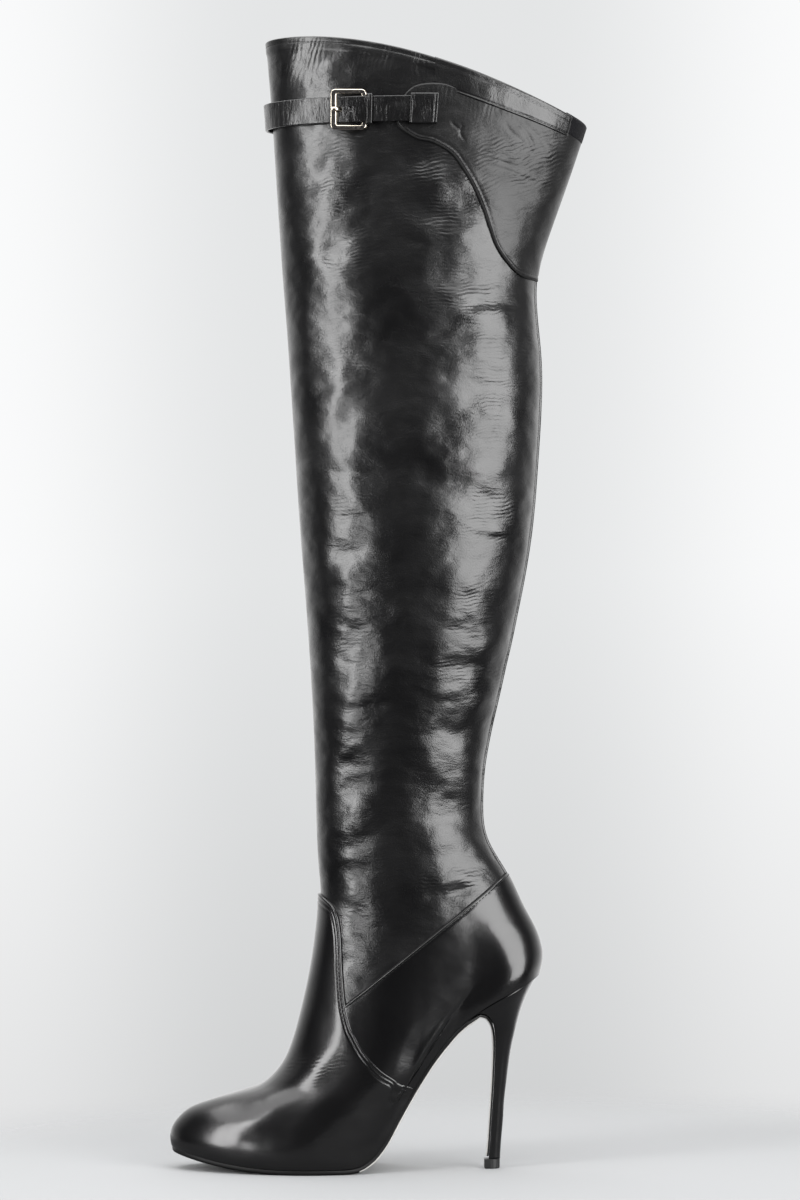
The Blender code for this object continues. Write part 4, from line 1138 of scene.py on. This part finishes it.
def overCollar(angles, thick, look):
    # rows of a strip over the collar's edge and down the inside of it
    top = skin(angles, float(topLevel))
    way = lastNormal(angles, float(topLevel))
    inner = -boot["wall"] - look["insideGap"]
    rows = []
    for i in range(1, 8):
        turn = math.pi * i / 8
        out = (thick + inner) / 2 + (thick - inner) / 2 * math.cos(turn)
        rows.append(top + way * out[:, None] + np.array((0, 0, look["crown"])) * math.sin(turn))
    highZ = lastPoint(angles, float(topLevel))[..., 2]
    for i in range(6):
        v = levelOfHeight(angles, highZ - look["foldDown"] * i / 5)
        tuck = look["tuck"] if i == 5 else 0
        rows.append(lastPoint(angles, v) + lastNormal(angles, v) * (inner + tuck))
    return rows


def bandRows(angles, lowV):
    # up the outside of the band, thinned out into the leather at its front, then over the collar
    fromFront = lastPoint(angles, lowV)[..., 0] - alongX(bandFront)
    t = np.clip(fromFront / bandLook["thinning"], 0, 1)
    thick = bandLook["thinEnd"] + (bandLook["thick"] - bandLook["thinEnd"]) * t * t * (3 - 2 * t)
    lowZ = lastPoint(angles, lowV)[..., 2]
    height = lastPoint(angles, float(topLevel))[..., 2] - lowZ
    rows = []
    for t in np.linspace(0, 1, bandLook["rows"])**1.5:
        out = edgeProfile(height * t, thick, bandLook["radius"])
        out = out - bandLook["groove"] * np.exp(-((height * t - bandLook["stitchUp"]) / (0.45 * mm))**2)
        out = out - bandLook["groove"] * np.exp(-((height * (1 - t) - bandLook["stitchDown"]) / (0.5 * mm))**2)
        rows.append(skin(angles, levelOfHeight(angles, lowZ + height * t), out))
    return rows + overCollar(angles, thick, bandLook)


def closeEnds(points, angle, drop):
    # the folded end of a strip: its last columns turn down to the leather
    ends = points.copy()
    sink = lastNormal(angle, float(topLevel))
    for index, share in ((-1, 1.0), (-2, 0.5), (-3, 0.2)):
        ends[index, :30] = ends[index, :30] - sink[index] * drop * share
    return ends


def makeCollarBands():
    edge = fromCollar([(along, bandLine(along)) for along in (bandFront, 0.9, bandBack)])
    backX, backZ = edge[-1]
    line = smoothLine(edge, bandLook["columns"])
    for side, name in ((1, "outer"), (-1, "inner")):
        angle, v = placeFromSide(line[:, 0], line[:, 1], side)
        angle = angle * side
        points = closeEnds(np.stack(bandRows(angle, v), axis=1), angle, bandLook["endDrop"])
        piece = gridPiece("collarBand_" + name, points, bandCalf)
        faceOut(piece, points[:, :20], np.repeat(lastNormal(angle, v)[:, None], 20, axis=1))
        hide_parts("collar_band_" + name)
        lowRow = lastPoint(angle, v)[..., 2] + bandLook["stitchUp"]
        highRow = lastPoint(angle, float(topLevel))[..., 2] - bandLook["stitchDown"]
        stitched = slice(bandLook["firstStitchColumn"], -3)
        for label, height in (("Low", lowRow), ("High", highRow)):
            at = levelOfHeight(angle, height)
            row = skin(angle, at, bandLook["thick"] - bandLook["groove"])
            stitches = stitchRow("collarStitches%s_%s" % (label, name), row[stitched],
                                 lastNormal(angle, at)[stitched], thread)
        for k, inside in enumerate((1.8 * mm, 5.0 * mm)):
            at, low = placeFromSide(np.array([backX - inside]), np.array([backZ]), side)
            column = np.full(12, side * at[0])
            high = lastPoint(column, float(topLevel))[..., 2]
            heights = np.linspace(lastPoint(column, low[0])[0, 2] + 2 * mm, high[0] - 2 * mm, 12)
            row = levelOfHeight(column, heights)
            stitches = stitchRow("bandEndStitches%d_%s" % (k + 1, name), skin(column, row, bandLook["thick"]),
                                 lastNormal(column, row), thread, pitch=2.4 * mm)


makeCollarBands()
print("collar bands made")


def makeElastic():
    startX, z = fromCollar([(bandBack, bandLine(bandBack))])[0]
    outerAngle, innerAngle = (placeFromSide(np.array([startX - 3 * mm]), np.array([z]), side)[0][0]
                              for side in (1, -1))
    angles = np.linspace(outerAngle, 2 * math.pi - innerAngle, elasticLook["columns"])
    lowZ = lastPoint(angles, float(topLevel))[..., 2] - elasticLook["foldDown"]
    rows = []
    for i in range(16):
        distance = elasticLook["foldDown"] * i / 15
        out = edgeProfile(distance, elasticLook["thick"], elasticLook["radius"])
        rows.append(skin(angles, levelOfHeight(angles, lowZ + distance), out))
    rows += overCollar(angles, np.full(len(angles), elasticLook["thick"]), elasticLook)
    points = np.stack(rows, axis=1)
    piece = gridPiece("elasticGore", points, knit)
    faceOut(piece, points[:, :14], np.repeat(lastNormal(angles, float(topLevel) - 0.5)[:, None], 14, axis=1))
    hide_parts("elastic_gore")


makeElastic()
print("elastic made")


backLook = {
    "width": 7 * mm,
    "thick": 1.0 * mm,
    "radius": 0.6 * mm,
    "seam": 0.3 * mm,
    "rows": 160,
    "across": (-1, -0.92, -0.75, -0.45, 0, 0.45, 0.75, 0.92, 1),
}


def makeBackStrip():
    start = boot["heelHeight"] + boot["counter"] - 2 * mm
    end = collarTop - panelLower[-1][1] * boot["shaft"] + 1.5 * mm
    v = levelOfHeight(math.pi, np.linspace(start, end, backLook["rows"]))
    half = backLook["width"] / 2
    # the width that a small turn of angle gives there
    near = np.abs(lastPoint(math.pi + 0.02, v)[..., 1] / 0.02)
    across = np.array(backLook["across"])
    angles = math.pi + across[None, :] * half / near[:, None]
    out = edgeProfile((1 - np.abs(across)) * half, backLook["thick"], backLook["radius"])
    out = out - backLook["seam"] * np.exp(-(across / 0.12)**2)
    points = skin(angles, v[:, None], np.broadcast_to(out, angles.shape))
    piece = gridPiece("backStrip", points, calf)
    faceOut(piece, points, lastNormal(angles, v[:, None]))
    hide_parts("back_strip")
    for k, side in enumerate((-1, 1)):
        row = math.pi + side * 0.7 * half / near
        line = skin(row, v, backLook["thick"] - 0.1 * mm)
        stitches = stitchRow("backStitches%d" % (k + 1), line, lastNormal(row, v), thread, pitch=3.0 * mm)


makeBackStrip()
print("back strip made")


strap = {
    "below": 46.0 * mm,
    "width": 16.0 * mm,
    "thick": 1.6 * mm,
    "edge": 0.55 * mm,
    "columns": (260, 90, 70),
    "endFromFront": 88.0 * mm,
    "buckleFromFront": 37.3 * mm,
    "buckleLength": 22.0 * mm,
    "buckleHeight": 25.0 * mm,
    "bar": 3.5 * mm,
    "rail": 2.8 * mm,
    "depth": 1.8 * mm,
    "corner": 3.0 * mm,
    "gap": 0.3 * mm,
    "chapeOut": 1.7 * mm,
    "chapeThick": 1.1 * mm,
    "chapeEdge": 0.4 * mm,
    "strapOut": 3.1 * mm,
    "loopOut": 5.0 * mm,
    "loopThick": 1.1 * mm,
    "loopLength": 15.0 * mm,
    "loopEdge": 0.45 * mm,
    "loopGroove": 0.22 * mm,
    "keeperLength": 3.2 * mm,
    "holes": (0.31, 0.62),
    "holeRadius": 1.3 * mm,
    "holeDepth": 1.2 * mm,
    "prongWidth": 2.6 * mm,
    "prongDepth": 1.4 * mm,
    "prongTip": 1.3 * mm,
}
strapZ = collarTop - strap["below"]
frontX = float(lastPoint(0.0, levelOfHeight(0.0, strapZ))[0])
buckleX = frontX + strap["buckleFromFront"] + strap["buckleLength"] / 2
buckleFrontX = buckleX - strap["buckleLength"] / 2
buckleBackX = buckleX + strap["buckleLength"] / 2
strapEndX = frontX + strap["endFromFront"]


def strapAngle(x, side=1):
    x = np.atleast_1d(np.asarray(x, float))
    return side * placeFromSide(x, np.full(x.shape, strapZ), side)[0]


def strapRings(angles, profile, punches=()):
    # closed rings of (height, distance out) along the strap's line, with its punched holes
    rings = []
    for z, out in profile:
        v = levelOfHeight(angles, strapZ + z)
        spots = lastPoint(angles, v)
        depth = np.zeros(angles.shape)
        for x, radius, deep in punches:
            away = np.hypot(spots[..., 0] - x, z) / radius
            depth = np.maximum(depth, deep * np.clip((1.15 - away) / 0.3, 0, 1))
        if out < strap["strapOut"] + strap["thick"] / 2:
            depth = depth * 0
        rings.append(spots + lastNormal(angles, v) * (out - depth)[..., None])
    return np.stack(rings + rings[:1], axis=1)


def corner(middleX, middleZ, radius, first, turn, count):
    # points round a corner from a first angle, in degrees
    turns = [math.radians(first + turn * k) for k in range(count)]
    return [(middleX + radius * math.cos(each), middleZ + radius * math.sin(each)) for each in turns]


def roundedStrap(half, inside, thick, radius):
    # profile of a strap: flat with rounded edges, and close points across the flats for the holes
    low, high = inside + radius, inside + thick - radius
    points = []
    for z, out, first in ((half - radius, high, 0), (-half + radius, high, 90),
                          (-half + radius, low, 180), (half - radius, low, 270)):
        points += corner(z, out, radius, first, 30, 4)
    dense = []
    for (z, out), (nextZ, nextOut) in zip(points, points[1:] + points[:1]):
        steps = 30 if abs(nextZ - z) > 4 * radius else 1
        dense += [(z + (nextZ - z) * k / steps, out + (nextOut - out) * k / steps) for k in range(steps)]
    return dense


def makeStrap():
    start = strapAngle(strapEndX, -1)[0]
    end = strapAngle(strapEndX + 3 * mm)[0]
    buckleStart, buckleEnd = strapAngle(np.array([buckleFrontX, buckleBackX]))
    toBuckle, inBuckle, toEnd = strap["columns"]
    angles = np.concatenate((np.linspace(start, buckleStart, toBuckle)[:-1],
                             np.linspace(buckleStart, buckleEnd, inBuckle)[:-1],
                             np.linspace(buckleEnd, end, toEnd)))
    profile = roundedStrap(strap["width"] / 2, strap["strapOut"], strap["thick"], strap["edge"])
    punches = [(buckleX + (share - 0.5) * strap["buckleLength"], strap["holeRadius"], strap["holeDepth"])
               for share in strap["holes"]]
    piece = gridPiece("buckledStrap", strapRings(angles, profile, punches), strapCalf)
    capEnds(piece)
    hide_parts("strap")
    angles = np.linspace(strapAngle(buckleBackX - 1 * mm)[0], end, 160)
    profile = roundedStrap(strap["width"] / 2 - 1 * mm, strap["chapeOut"], strap["chapeThick"],
                           strap["chapeEdge"])
    piece = gridPiece("buckleChape", strapRings(angles, profile), strapCalf)
    capEnds(piece)
    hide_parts("chape")


def staple(foot, radius):
    # profile of a loop over the strap
    inside, thick = strap["loopOut"], strap["loopThick"]
    outer = strap["width"] / 2 + strap["gap"] + thick
    inner = outer - thick
    top = inside + thick
    halfway = (foot + top - radius) / 2
    points = [(-outer, foot), (-outer, halfway)]
    points += corner(-outer + radius, top - radius, radius, 180, -22.5, 5)
    points += [(-outer + radius + (2 * outer - 2 * radius) * k / 8, top) for k in range(1, 8)]
    points += corner(outer - radius, top - radius, radius, 90, -22.5, 5)
    return points + [(outer, halfway), (outer, foot), (inner, foot), (inner, inside),
                     (-inner, inside), (-inner, foot)]


def roundedSpan(start, end, count):
    # columns over a loop, closer together at its two edges
    t = np.linspace(0, 1, count)
    return start + (end - start) * (t - np.sin(2 * math.pi * t) / (2 * math.pi) * 0.85)


def makeLoop(name, node, ends, foot, radius):
    angles = roundedSpan(ends[0], ends[1], 44)
    profile = staple(foot, radius)
    v = levelOfHeight(angles, strapZ)
    run = runAlong(lastPoint(angles, v))
    fromEnd = np.minimum(run, run[-1] - run)
    # rounded edges, and on a wide loop a pressed line beside them
    drop = strap["loopEdge"] - edgeProfile(fromEnd, strap["loopEdge"], 0.5 * mm)
    drop = drop + strap["loopGroove"] * np.exp(-((fromEnd - 1.6 * mm) / (0.4 * mm))**2) * (run[-1] > 8 * mm)
    outer = np.array([out > strap["loopOut"] + 0.5 * mm for _, out in profile + profile[:1]])
    sunk = lastNormal(angles, v)[:, None, :] * (drop[:, None] * outer[None, :])[..., None]
    piece = gridPiece(name, strapRings(angles, profile) - sunk, strapCalf)
    capEnds(piece)
    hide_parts(node)


def makeLoops():
    keeperX = buckleBackX + 1.2 * mm
    makeLoop("strapKeeper", "strap_keeper", strapAngle(np.array([keeperX, keeperX + strap["keeperLength"]])),
             strap["gap"], 0.8 * mm)
    loopEndX = strapEndX + strap["loopLength"]
    for name, node, side in (("strapLoop", "strap_loop", 1), ("strapAnchor", "strap_anchor", -1)):
        ends = strapAngle(np.array([strapEndX - 1.5 * mm, loopEndX]), side)
        makeLoop(name, node, ends, strap["chapeOut"], 0.9 * mm)
        angle = np.repeat(strapAngle(loopEndX - 1.6 * mm, side), 10)
        v = levelOfHeight(angle, strapZ + np.linspace(-0.42, 0.42, 10) * strap["width"])
        line = lastPoint(angle, v) + lastNormal(angle, v) * (strap["loopOut"] + 0.95 * mm)
        stitches = stitchRow(name + "Stitches", line, lastNormal(angle, v), thread, pitch=2.2 * mm,
                             length=1.6 * mm)


makeStrap()
makeLoops()


def onStrap(x, out):
    # point over the leather at the strap's middle, and the way out there
    angle = strapAngle(x)
    v = levelOfHeight(angle, strapZ)
    way = lastNormal(angle, v)[0]
    return lastPoint(angle, v)[0] + way * out, way


def strapFace(x, out):
    # side place of a face of the strap that has the given x
    way = onStrap(x, out)[1]
    return onStrap(x - out * way[0], out)[0][1]


def roundedCorners(length, height, radius, shift, steps=10):
    line = []
    for sideX, sideZ, first in ((1, 1, 0), (-1, 1, 90), (-1, -1, 180), (1, -1, 270)):
        line += corner(shift + sideX * (length / 2 - radius), sideZ * (height / 2 - radius), radius, first,
                       90 / steps, steps + 1)
    return np.array(line + line[:1])


def buckleSlope():
    # the buckle's middle plane: its y at a given x, over the strap in front and under it behind
    clear = strap["gap"] + strap["depth"] / 2
    startX, endX = buckleFrontX + strap["bar"], buckleBackX - strap["rail"]
    startY = strapFace(startX, strap["strapOut"] + strap["thick"]) - clear
    endY = strapFace(endX, strap["strapOut"]) + clear
    return startX, startY, (endY - startY) / (endX - startX)


def makeFrame(startX, startY, slope):
    length, height, bar, rail = strap["buckleLength"], strap["buckleHeight"], strap["bar"], strap["rail"]
    outer = roundedCorners(length, height, strap["corner"], 0.0)
    inner = roundedCorners(length - bar - rail, height - 2 * rail, strap["corner"] / 3, (bar - rail) / 2)
    rings = []
    for turn in np.linspace(0, 2 * math.pi, 21):
        # a square section with rounded edges
        flat = math.copysign(abs(math.cos(turn))**0.45, math.cos(turn))
        deep = math.copysign(abs(math.sin(turn))**0.45, math.sin(turn))
        line = (outer + inner) / 2 + (outer - inner) / 2 * flat
        x = buckleX + line[:, 0]
        y = startY + slope * (x - startX) - deep * strap["depth"] / 2
        rings.append(np.stack((x, y, strapZ + line[:, 1]), axis=1))
    piece = gridPiece("buckleFrame", np.stack(rings, axis=1), nickel)
    capEnds(piece)
    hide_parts("buckle_frame")


def makeProng(startX, startY, slope):
    # from the back bar under the strap, up through a hole and over the front bar
    gap, bar, depth = strap["gap"], strap["bar"], strap["prongDepth"]
    holeX = buckleFrontX + strap["holes"][0] * strap["buckleLength"]
    barY = startY + slope * (buckleFrontX - startX) - strap["depth"] / 2 - gap - depth / 2
    under = strap["chapeOut"] - gap
    path = [onStrap(buckleBackX - strap["rail"] - gap, under)[0],
            onStrap(holeX + 2.4 * mm, under - gap)[0],
            onStrap(holeX, strap["strapOut"] + strap["thick"] / 2)[0],
            (buckleFrontX + bar + 0.4 * mm, barY + 0.4 * mm, strapZ),
            (buckleFrontX + bar / 2, barY, strapZ),
            (buckleFrontX + 0.2 * mm, barY, strapZ)]
    line = smoothLine(path, 60)
    run = unit(np.gradient(line, axis=0))
    square = np.stack((-run[:, 1], run[:, 0], np.zeros(len(line))), axis=1)
    fromTip = np.linalg.norm(line - line[-1], axis=1)
    slim = np.sqrt(1 - (1 - np.clip(fromTip / strap["prongTip"], 0, 1))**2)[:, None]
    rings = [line + slim * (square * math.cos(turn) * depth / 2
                            + np.array((0, 0, 1)) * math.sin(turn) * strap["prongWidth"] / 2)
             for turn in np.linspace(0, 2 * math.pi, 17)]
    piece = gridPiece("bucklePinProng", np.stack(rings, axis=1), nickel)
    capEnds(piece)
    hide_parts("buckle_prong")


bucklePlane = buckleSlope()
makeFrame(*bucklePlane)
makeProng(*bucklePlane)
print("strap, loops and buckle made")


heelLevels = [
    # front, front up, back, back up, width, flap
    (-0.285, 0.788, 0.982, 0.991, 0.992, 0.77), (-0.164, 0.780, 0.890, 0.952, 0.899, 0.70),
    (-0.071, 0.750, 0.758, 0.890, 0.734, 0.66), (-0.021, 0.709, 0.633, 0.812, 0.581, 0.60),
    (0.000, 0.660, 0.534, 0.725, 0.468, 0.55), (0.000, 0.577, 0.420, 0.610, 0.379, 0.50),
    (-0.021, 0.453, 0.327, 0.458, 0.298, 0.50), (-0.046, 0.350, 0.270, 0.350, 0.250, 0.50),
    (-0.075, 0.247, 0.242, 0.247, 0.218, 0.50), (-0.103, 0.144, 0.203, 0.144, 0.198, 0.50),
    (-0.135, 0.066, 0.181, 0.066, 0.190, 0.50),
]
soleLook = {
    "reach": 1.6 * mm,
    "thick": 3.0 * mm,
    "end": 0.805,
    "stations": 110,
    "paleFrom": 0.50,
    "flapWidth": 0.94,
    # inside the edge and down from the upper face, in mm; the painted edge ends at the fifth point
    "edge": [(1.6, 0.0), (0.35, 0.0), (0.08, 0.12), (0.0, 0.4), (0.0, 1.5), (0.12, 2.1), (0.55, 2.7),
             (1.2, 3.0)],
}
heelLook = {
    "seatWidth": 49.6 * mm,
    "seatUnder": 2.6 * mm,
    "liftHeight": 6.0 * mm,
    "gap": 0.3 * mm,
    # along from the breast to the back, and across: a flat breast and a round back
    "breast": [(0.0, 0.90), (0.004, 0.925), (0.03, 0.945), (0.12, 0.965), (0.26, 0.99)],
}


def bedRing(outer, inner):
    # ring across the sole: outer side's edge, underside, inner side's edge, upper face
    share = np.linspace(0, 1, 7)[1:-1][:, None]
    under = outer[-1] * (1 - share) + inner[-1] * share
    over = inner[0] * (1 - share) + outer[0] * share
    return np.concatenate((outer, under, inner[::-1], over, outer[:1]))


def heelRows():
    # breast x and z, back x and z, half width and flap thickness down the heel
    overhang, height = boot["seatOverhang"], boot["heelHeight"]
    return np.array([(front * overhang, frontUp * height, back * overhang, backUp * height,
                      width * heelLook["seatWidth"] / 2, flap * boot["soleThickness"])
                     for front, frontUp, back, backUp, width, flap in heelLevels])


def breastWays(rows):
    run = np.gradient(rows[:, :2], axis=0)
    return unit(np.stack((-run[:, 1], np.zeros(len(rows)), run[:, 0]), axis=1))


def makeSole():
    edge = np.array(soleLook["edge"]) * mm
    top = math.acos(1 - 2 * soleLook["end"])
    angles = top * np.linspace(0, 1, soleLook["stations"])**1.25
    inward = edge[:, 0] - soleLook["reach"]
    lift = (-boot["bedGap"] - edge[:, 1])[:, None]
    rings = [bedRing(*[edgePoint(np.full(len(edge), side * angle), inward, lift) for side in (1, -1)])
             for angle in angles]
    rows = smoothLine(heelRows(), 70)
    for row, way in zip(rows, breastWays(rows)):
        across = row[4] * soleLook["flapWidth"] - edge[:, 0]
        depth = row[5] * (1 - edge[:, 1] / soleLook["thick"])
        line = np.array((row[0], 0, row[1])) + way * depth[:, None]
        rings.append(bedRing(*[line + np.array((0, side, 0)) * across[:, None] for side in (-1, 1)]))
    treadEnd = np.searchsorted((1 - np.cos(angles)) / 2, soleLook["paleFrom"])

    def natural(station, row):
        # the painted edge is black; the underside is natural, and behind the tread its bevel too
        bevel = 2 if station > treadEnd else 0
        return len(edge) - 1 - bevel < row < len(edge) + 5 + bevel

    piece = gridPiece("leatherSole", np.stack(rings, axis=0), [soleEdge, soleLeather], second=natural)
    capEnds(piece)
    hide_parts("outsole")


def dRing(front, back, half):
    # ring round the heel, from the breast's one edge round the back to the other and across the breast
    breast = heelLook["breast"]
    ring = [(along, -across) for along, across in breast]
    for turn in np.linspace(0, math.pi, 29):
        ring.append((0.4 + 0.6 * math.sin(turn), -math.cos(turn)))
    ring += breast[::-1] + [(0.0, 0.45), (0.0, 0.0), (0.0, -0.45), (0.0, -0.90)]
    ring = np.array(ring)
    return front + (back - front) * ring[:, :1] + np.array((0, 1, 0)) * ring[:, 1:] * half


def makeHeel():
    rows = heelRows()
    seat = dRing(np.array((rows[0, 0] - heelLook["seatUnder"], 0, 0)), np.array((boot["seatOverhang"], 0, 0)),
                 heelLook["seatWidth"] / 2)
    seat[:, 2] = edgeHeight((seat[:, 0] - toeX) / boot["footLength"]) - boot["bedGap"]
    rings = [seat]
    for row, way in zip(rows, breastWays(rows)):
        front = np.array((row[0], 0, row[1])) + (row[5] + heelLook["gap"]) * way
        rings.append(dRing(front, np.array((row[2], 0, row[3])), row[4]))
    foot = rings[-1].copy()
    foot[:, 2] = heelLook["liftHeight"] + heelLook["gap"]
    rings = np.stack(rings + [foot], axis=0)
    columns = [smoothLine(rings[:, k], 90) for k in range(rings.shape[1])]
    piece = gridPiece("coveredHeel", np.stack(columns, axis=0), polishedCalf)
    capEnds(piece)
    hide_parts("heel")


makeSole()
makeHeel()
for name, finish in (("insole", liningLeather), ("top_lift", rubber)):
    node = frame["nodes"][name]
    node.data.materials.clear()
    node.data.materials.append(finish)
print("heel and sole finished")


studio = {
    "cameraPlace": (-0.0575, -2.5, 0.3206),
    "lens": 120.0,
    "shift": 0.0458,
    "floorColour": (0.345, 0.35, 0.355),
    "floorMirrored": (0.10, 0.10, 0.105),
    "floorFade": (0.24, 0.50),
    "roomFront": (0.026, 0.027, 0.036),
    "roomBack": (1.25, 1.25, 1.25),
    # backdrop colours: the darker middle is painted shade on the backdrop
    "backdropMiddle": (0.775, 0.785, 0.79),
    "backdropSide": (0.955, 0.96, 0.965),
    "lamps": {
        "leftStrip": {"place": (-1.32, -0.98, 0.70), "width": 0.42, "height": 1.35, "power": 20.0},
        "rightBox": {"place": (1.45, -1.35, 0.60), "width": 1.5, "height": 1.6, "power": 58.0},
        "footLamp": {"place": (-1.04, -1.30, 0.12), "width": 0.20, "height": 0.34, "power": 1.8},
        "topBox": {"place": (-0.15, -0.25, 1.75), "width": 2.6, "height": 2.2, "power": 62.0},
    },
    "lampsFace": (-0.05, 0.0, 0.35),
}


def areaLight(name, look):
    data = bpy.data.lights.new(name, "AREA")
    data.shape = "RECTANGLE"
    data.size = look["width"]
    data.size_y = look["height"]
    data.energy = look["power"]
    lamp = bpy.data.objects.new(name, data)
    scene.collection.objects.link(lamp)
    lamp.location = look["place"]
    way = Vector(studio["lampsFace"]) - Vector(look["place"])
    lamp.rotation_euler = way.to_track_quat("-Z", "Y").to_euler()


def smoothShare(tree, value, low, high):
    share = spread(tree, value, 0.0, 1.0, low, high)
    share.node.interpolation_type = "SMOOTHSTEP"
    return share


def fadedFloor():
    bm = bmesh.new()
    bmesh.ops.create_circle(bm, cap_ends=True, segments=96, radius=0.6)
    mesh = bpy.data.meshes.new("paleFloor")
    bm.to_mesh(mesh)
    bm.free()
    floor = bpy.data.objects.new("paleFloor", mesh)
    scene.collection.objects.link(floor)
    finish, tree, shader = newFinish("floorPaper", studio["floorColour"], 0.85)
    away = tree.nodes.new("ShaderNodeVectorMath")
    away.operation = "LENGTH"
    tree.links.new(objectSpace(tree), away.inputs[0])
    # a darker floor in the leather's reflections than under the boot
    path = tree.nodes.new("ShaderNodeLightPath")
    tone = blended(tree, path.outputs["Is Glossy Ray"], studio["floorColour"], studio["floorMirrored"])
    tree.links.new(tone, shader.inputs["Base Color"])
    clear = tree.nodes.new("ShaderNodeBsdfTransparent")
    fade = tree.nodes.new("ShaderNodeMixShader")
    tree.links.new(smoothShare(tree, away.outputs["Value"], *studio["floorFade"]), fade.inputs["Fac"])
    tree.links.new(shader.outputs["BSDF"], fade.inputs[1])
    tree.links.new(clear.outputs["BSDF"], fade.inputs[2])
    tree.links.new(fade.outputs["Shader"], tree.nodes["Material Output"].inputs["Surface"])
    mesh.materials.append(finish)


def makeWorld():
    world = bpy.data.worlds.new("studioRoom")
    scene.world = world
    world.use_nodes = True
    tree = world.node_tree
    tree.nodes.clear()
    output = tree.nodes.new("ShaderNodeOutputWorld")
    coords = tree.nodes.new("ShaderNodeTexCoord")
    split = tree.nodes.new("ShaderNodeSeparateXYZ")
    tree.links.new(coords.outputs["Generated"], split.inputs["Vector"])
    # what lights the boot: dark in front, pale behind
    lit = addNode(tree, "ShaderNodeBackground", Strength=1.0)
    behind = spread(tree, split.outputs["Y"], 0.0, 1.0, 0.05, 0.70)
    tree.links.new(blended(tree, behind, studio["roomFront"], studio["roomBack"]), lit.inputs["Color"])
    # what the camera sees: a backdrop with painted shade, darker in its middle and a little darker lower down,
    # paler to its sides
    seen = addNode(tree, "ShaderNodeBackground", Strength=1.0)
    aside = tree.nodes.new("ShaderNodeMath")
    aside.operation = "ABSOLUTE"
    tree.links.new(split.outputs["X"], aside.inputs[0])
    share = smoothShare(tree, aside.outputs["Value"], 0.03, 0.105)
    tree.links.new(blended(tree, share, studio["backdropMiddle"], studio["backdropSide"]), seen.inputs["Color"])
    tree.links.new(spread(tree, split.outputs["Z"], 0.80, 1.0, -0.12, 0.02), seen.inputs["Strength"])
    path = tree.nodes.new("ShaderNodeLightPath")
    mix = tree.nodes.new("ShaderNodeMixShader")
    tree.links.new(path.outputs["Is Camera Ray"], mix.inputs["Fac"])
    tree.links.new(lit.outputs["Background"], mix.inputs[1])
    tree.links.new(seen.outputs["Background"], mix.inputs[2])
    tree.links.new(mix.outputs["Shader"], output.inputs["Surface"])


def makeStudio():
    fadedFloor()
    for name, look in studio["lamps"].items():
        areaLight(name, look)
    camera = bpy.data.objects.new("camera", bpy.data.cameras.new("camera"))
    scene.collection.objects.link(camera)
    camera.location = studio["cameraPlace"]
    camera.rotation_euler = (math.radians(90), 0, 0)
    camera.data.sensor_fit = "VERTICAL"
    camera.data.sensor_height = 36.0
    camera.data.lens = studio["lens"]
    camera.data.shift_y = studio["shift"]
    camera.data.clip_end = 50
    scene.camera = camera
    makeWorld()
    scene.view_settings.view_transform = "Standard"


makeStudio()
print("studio made")
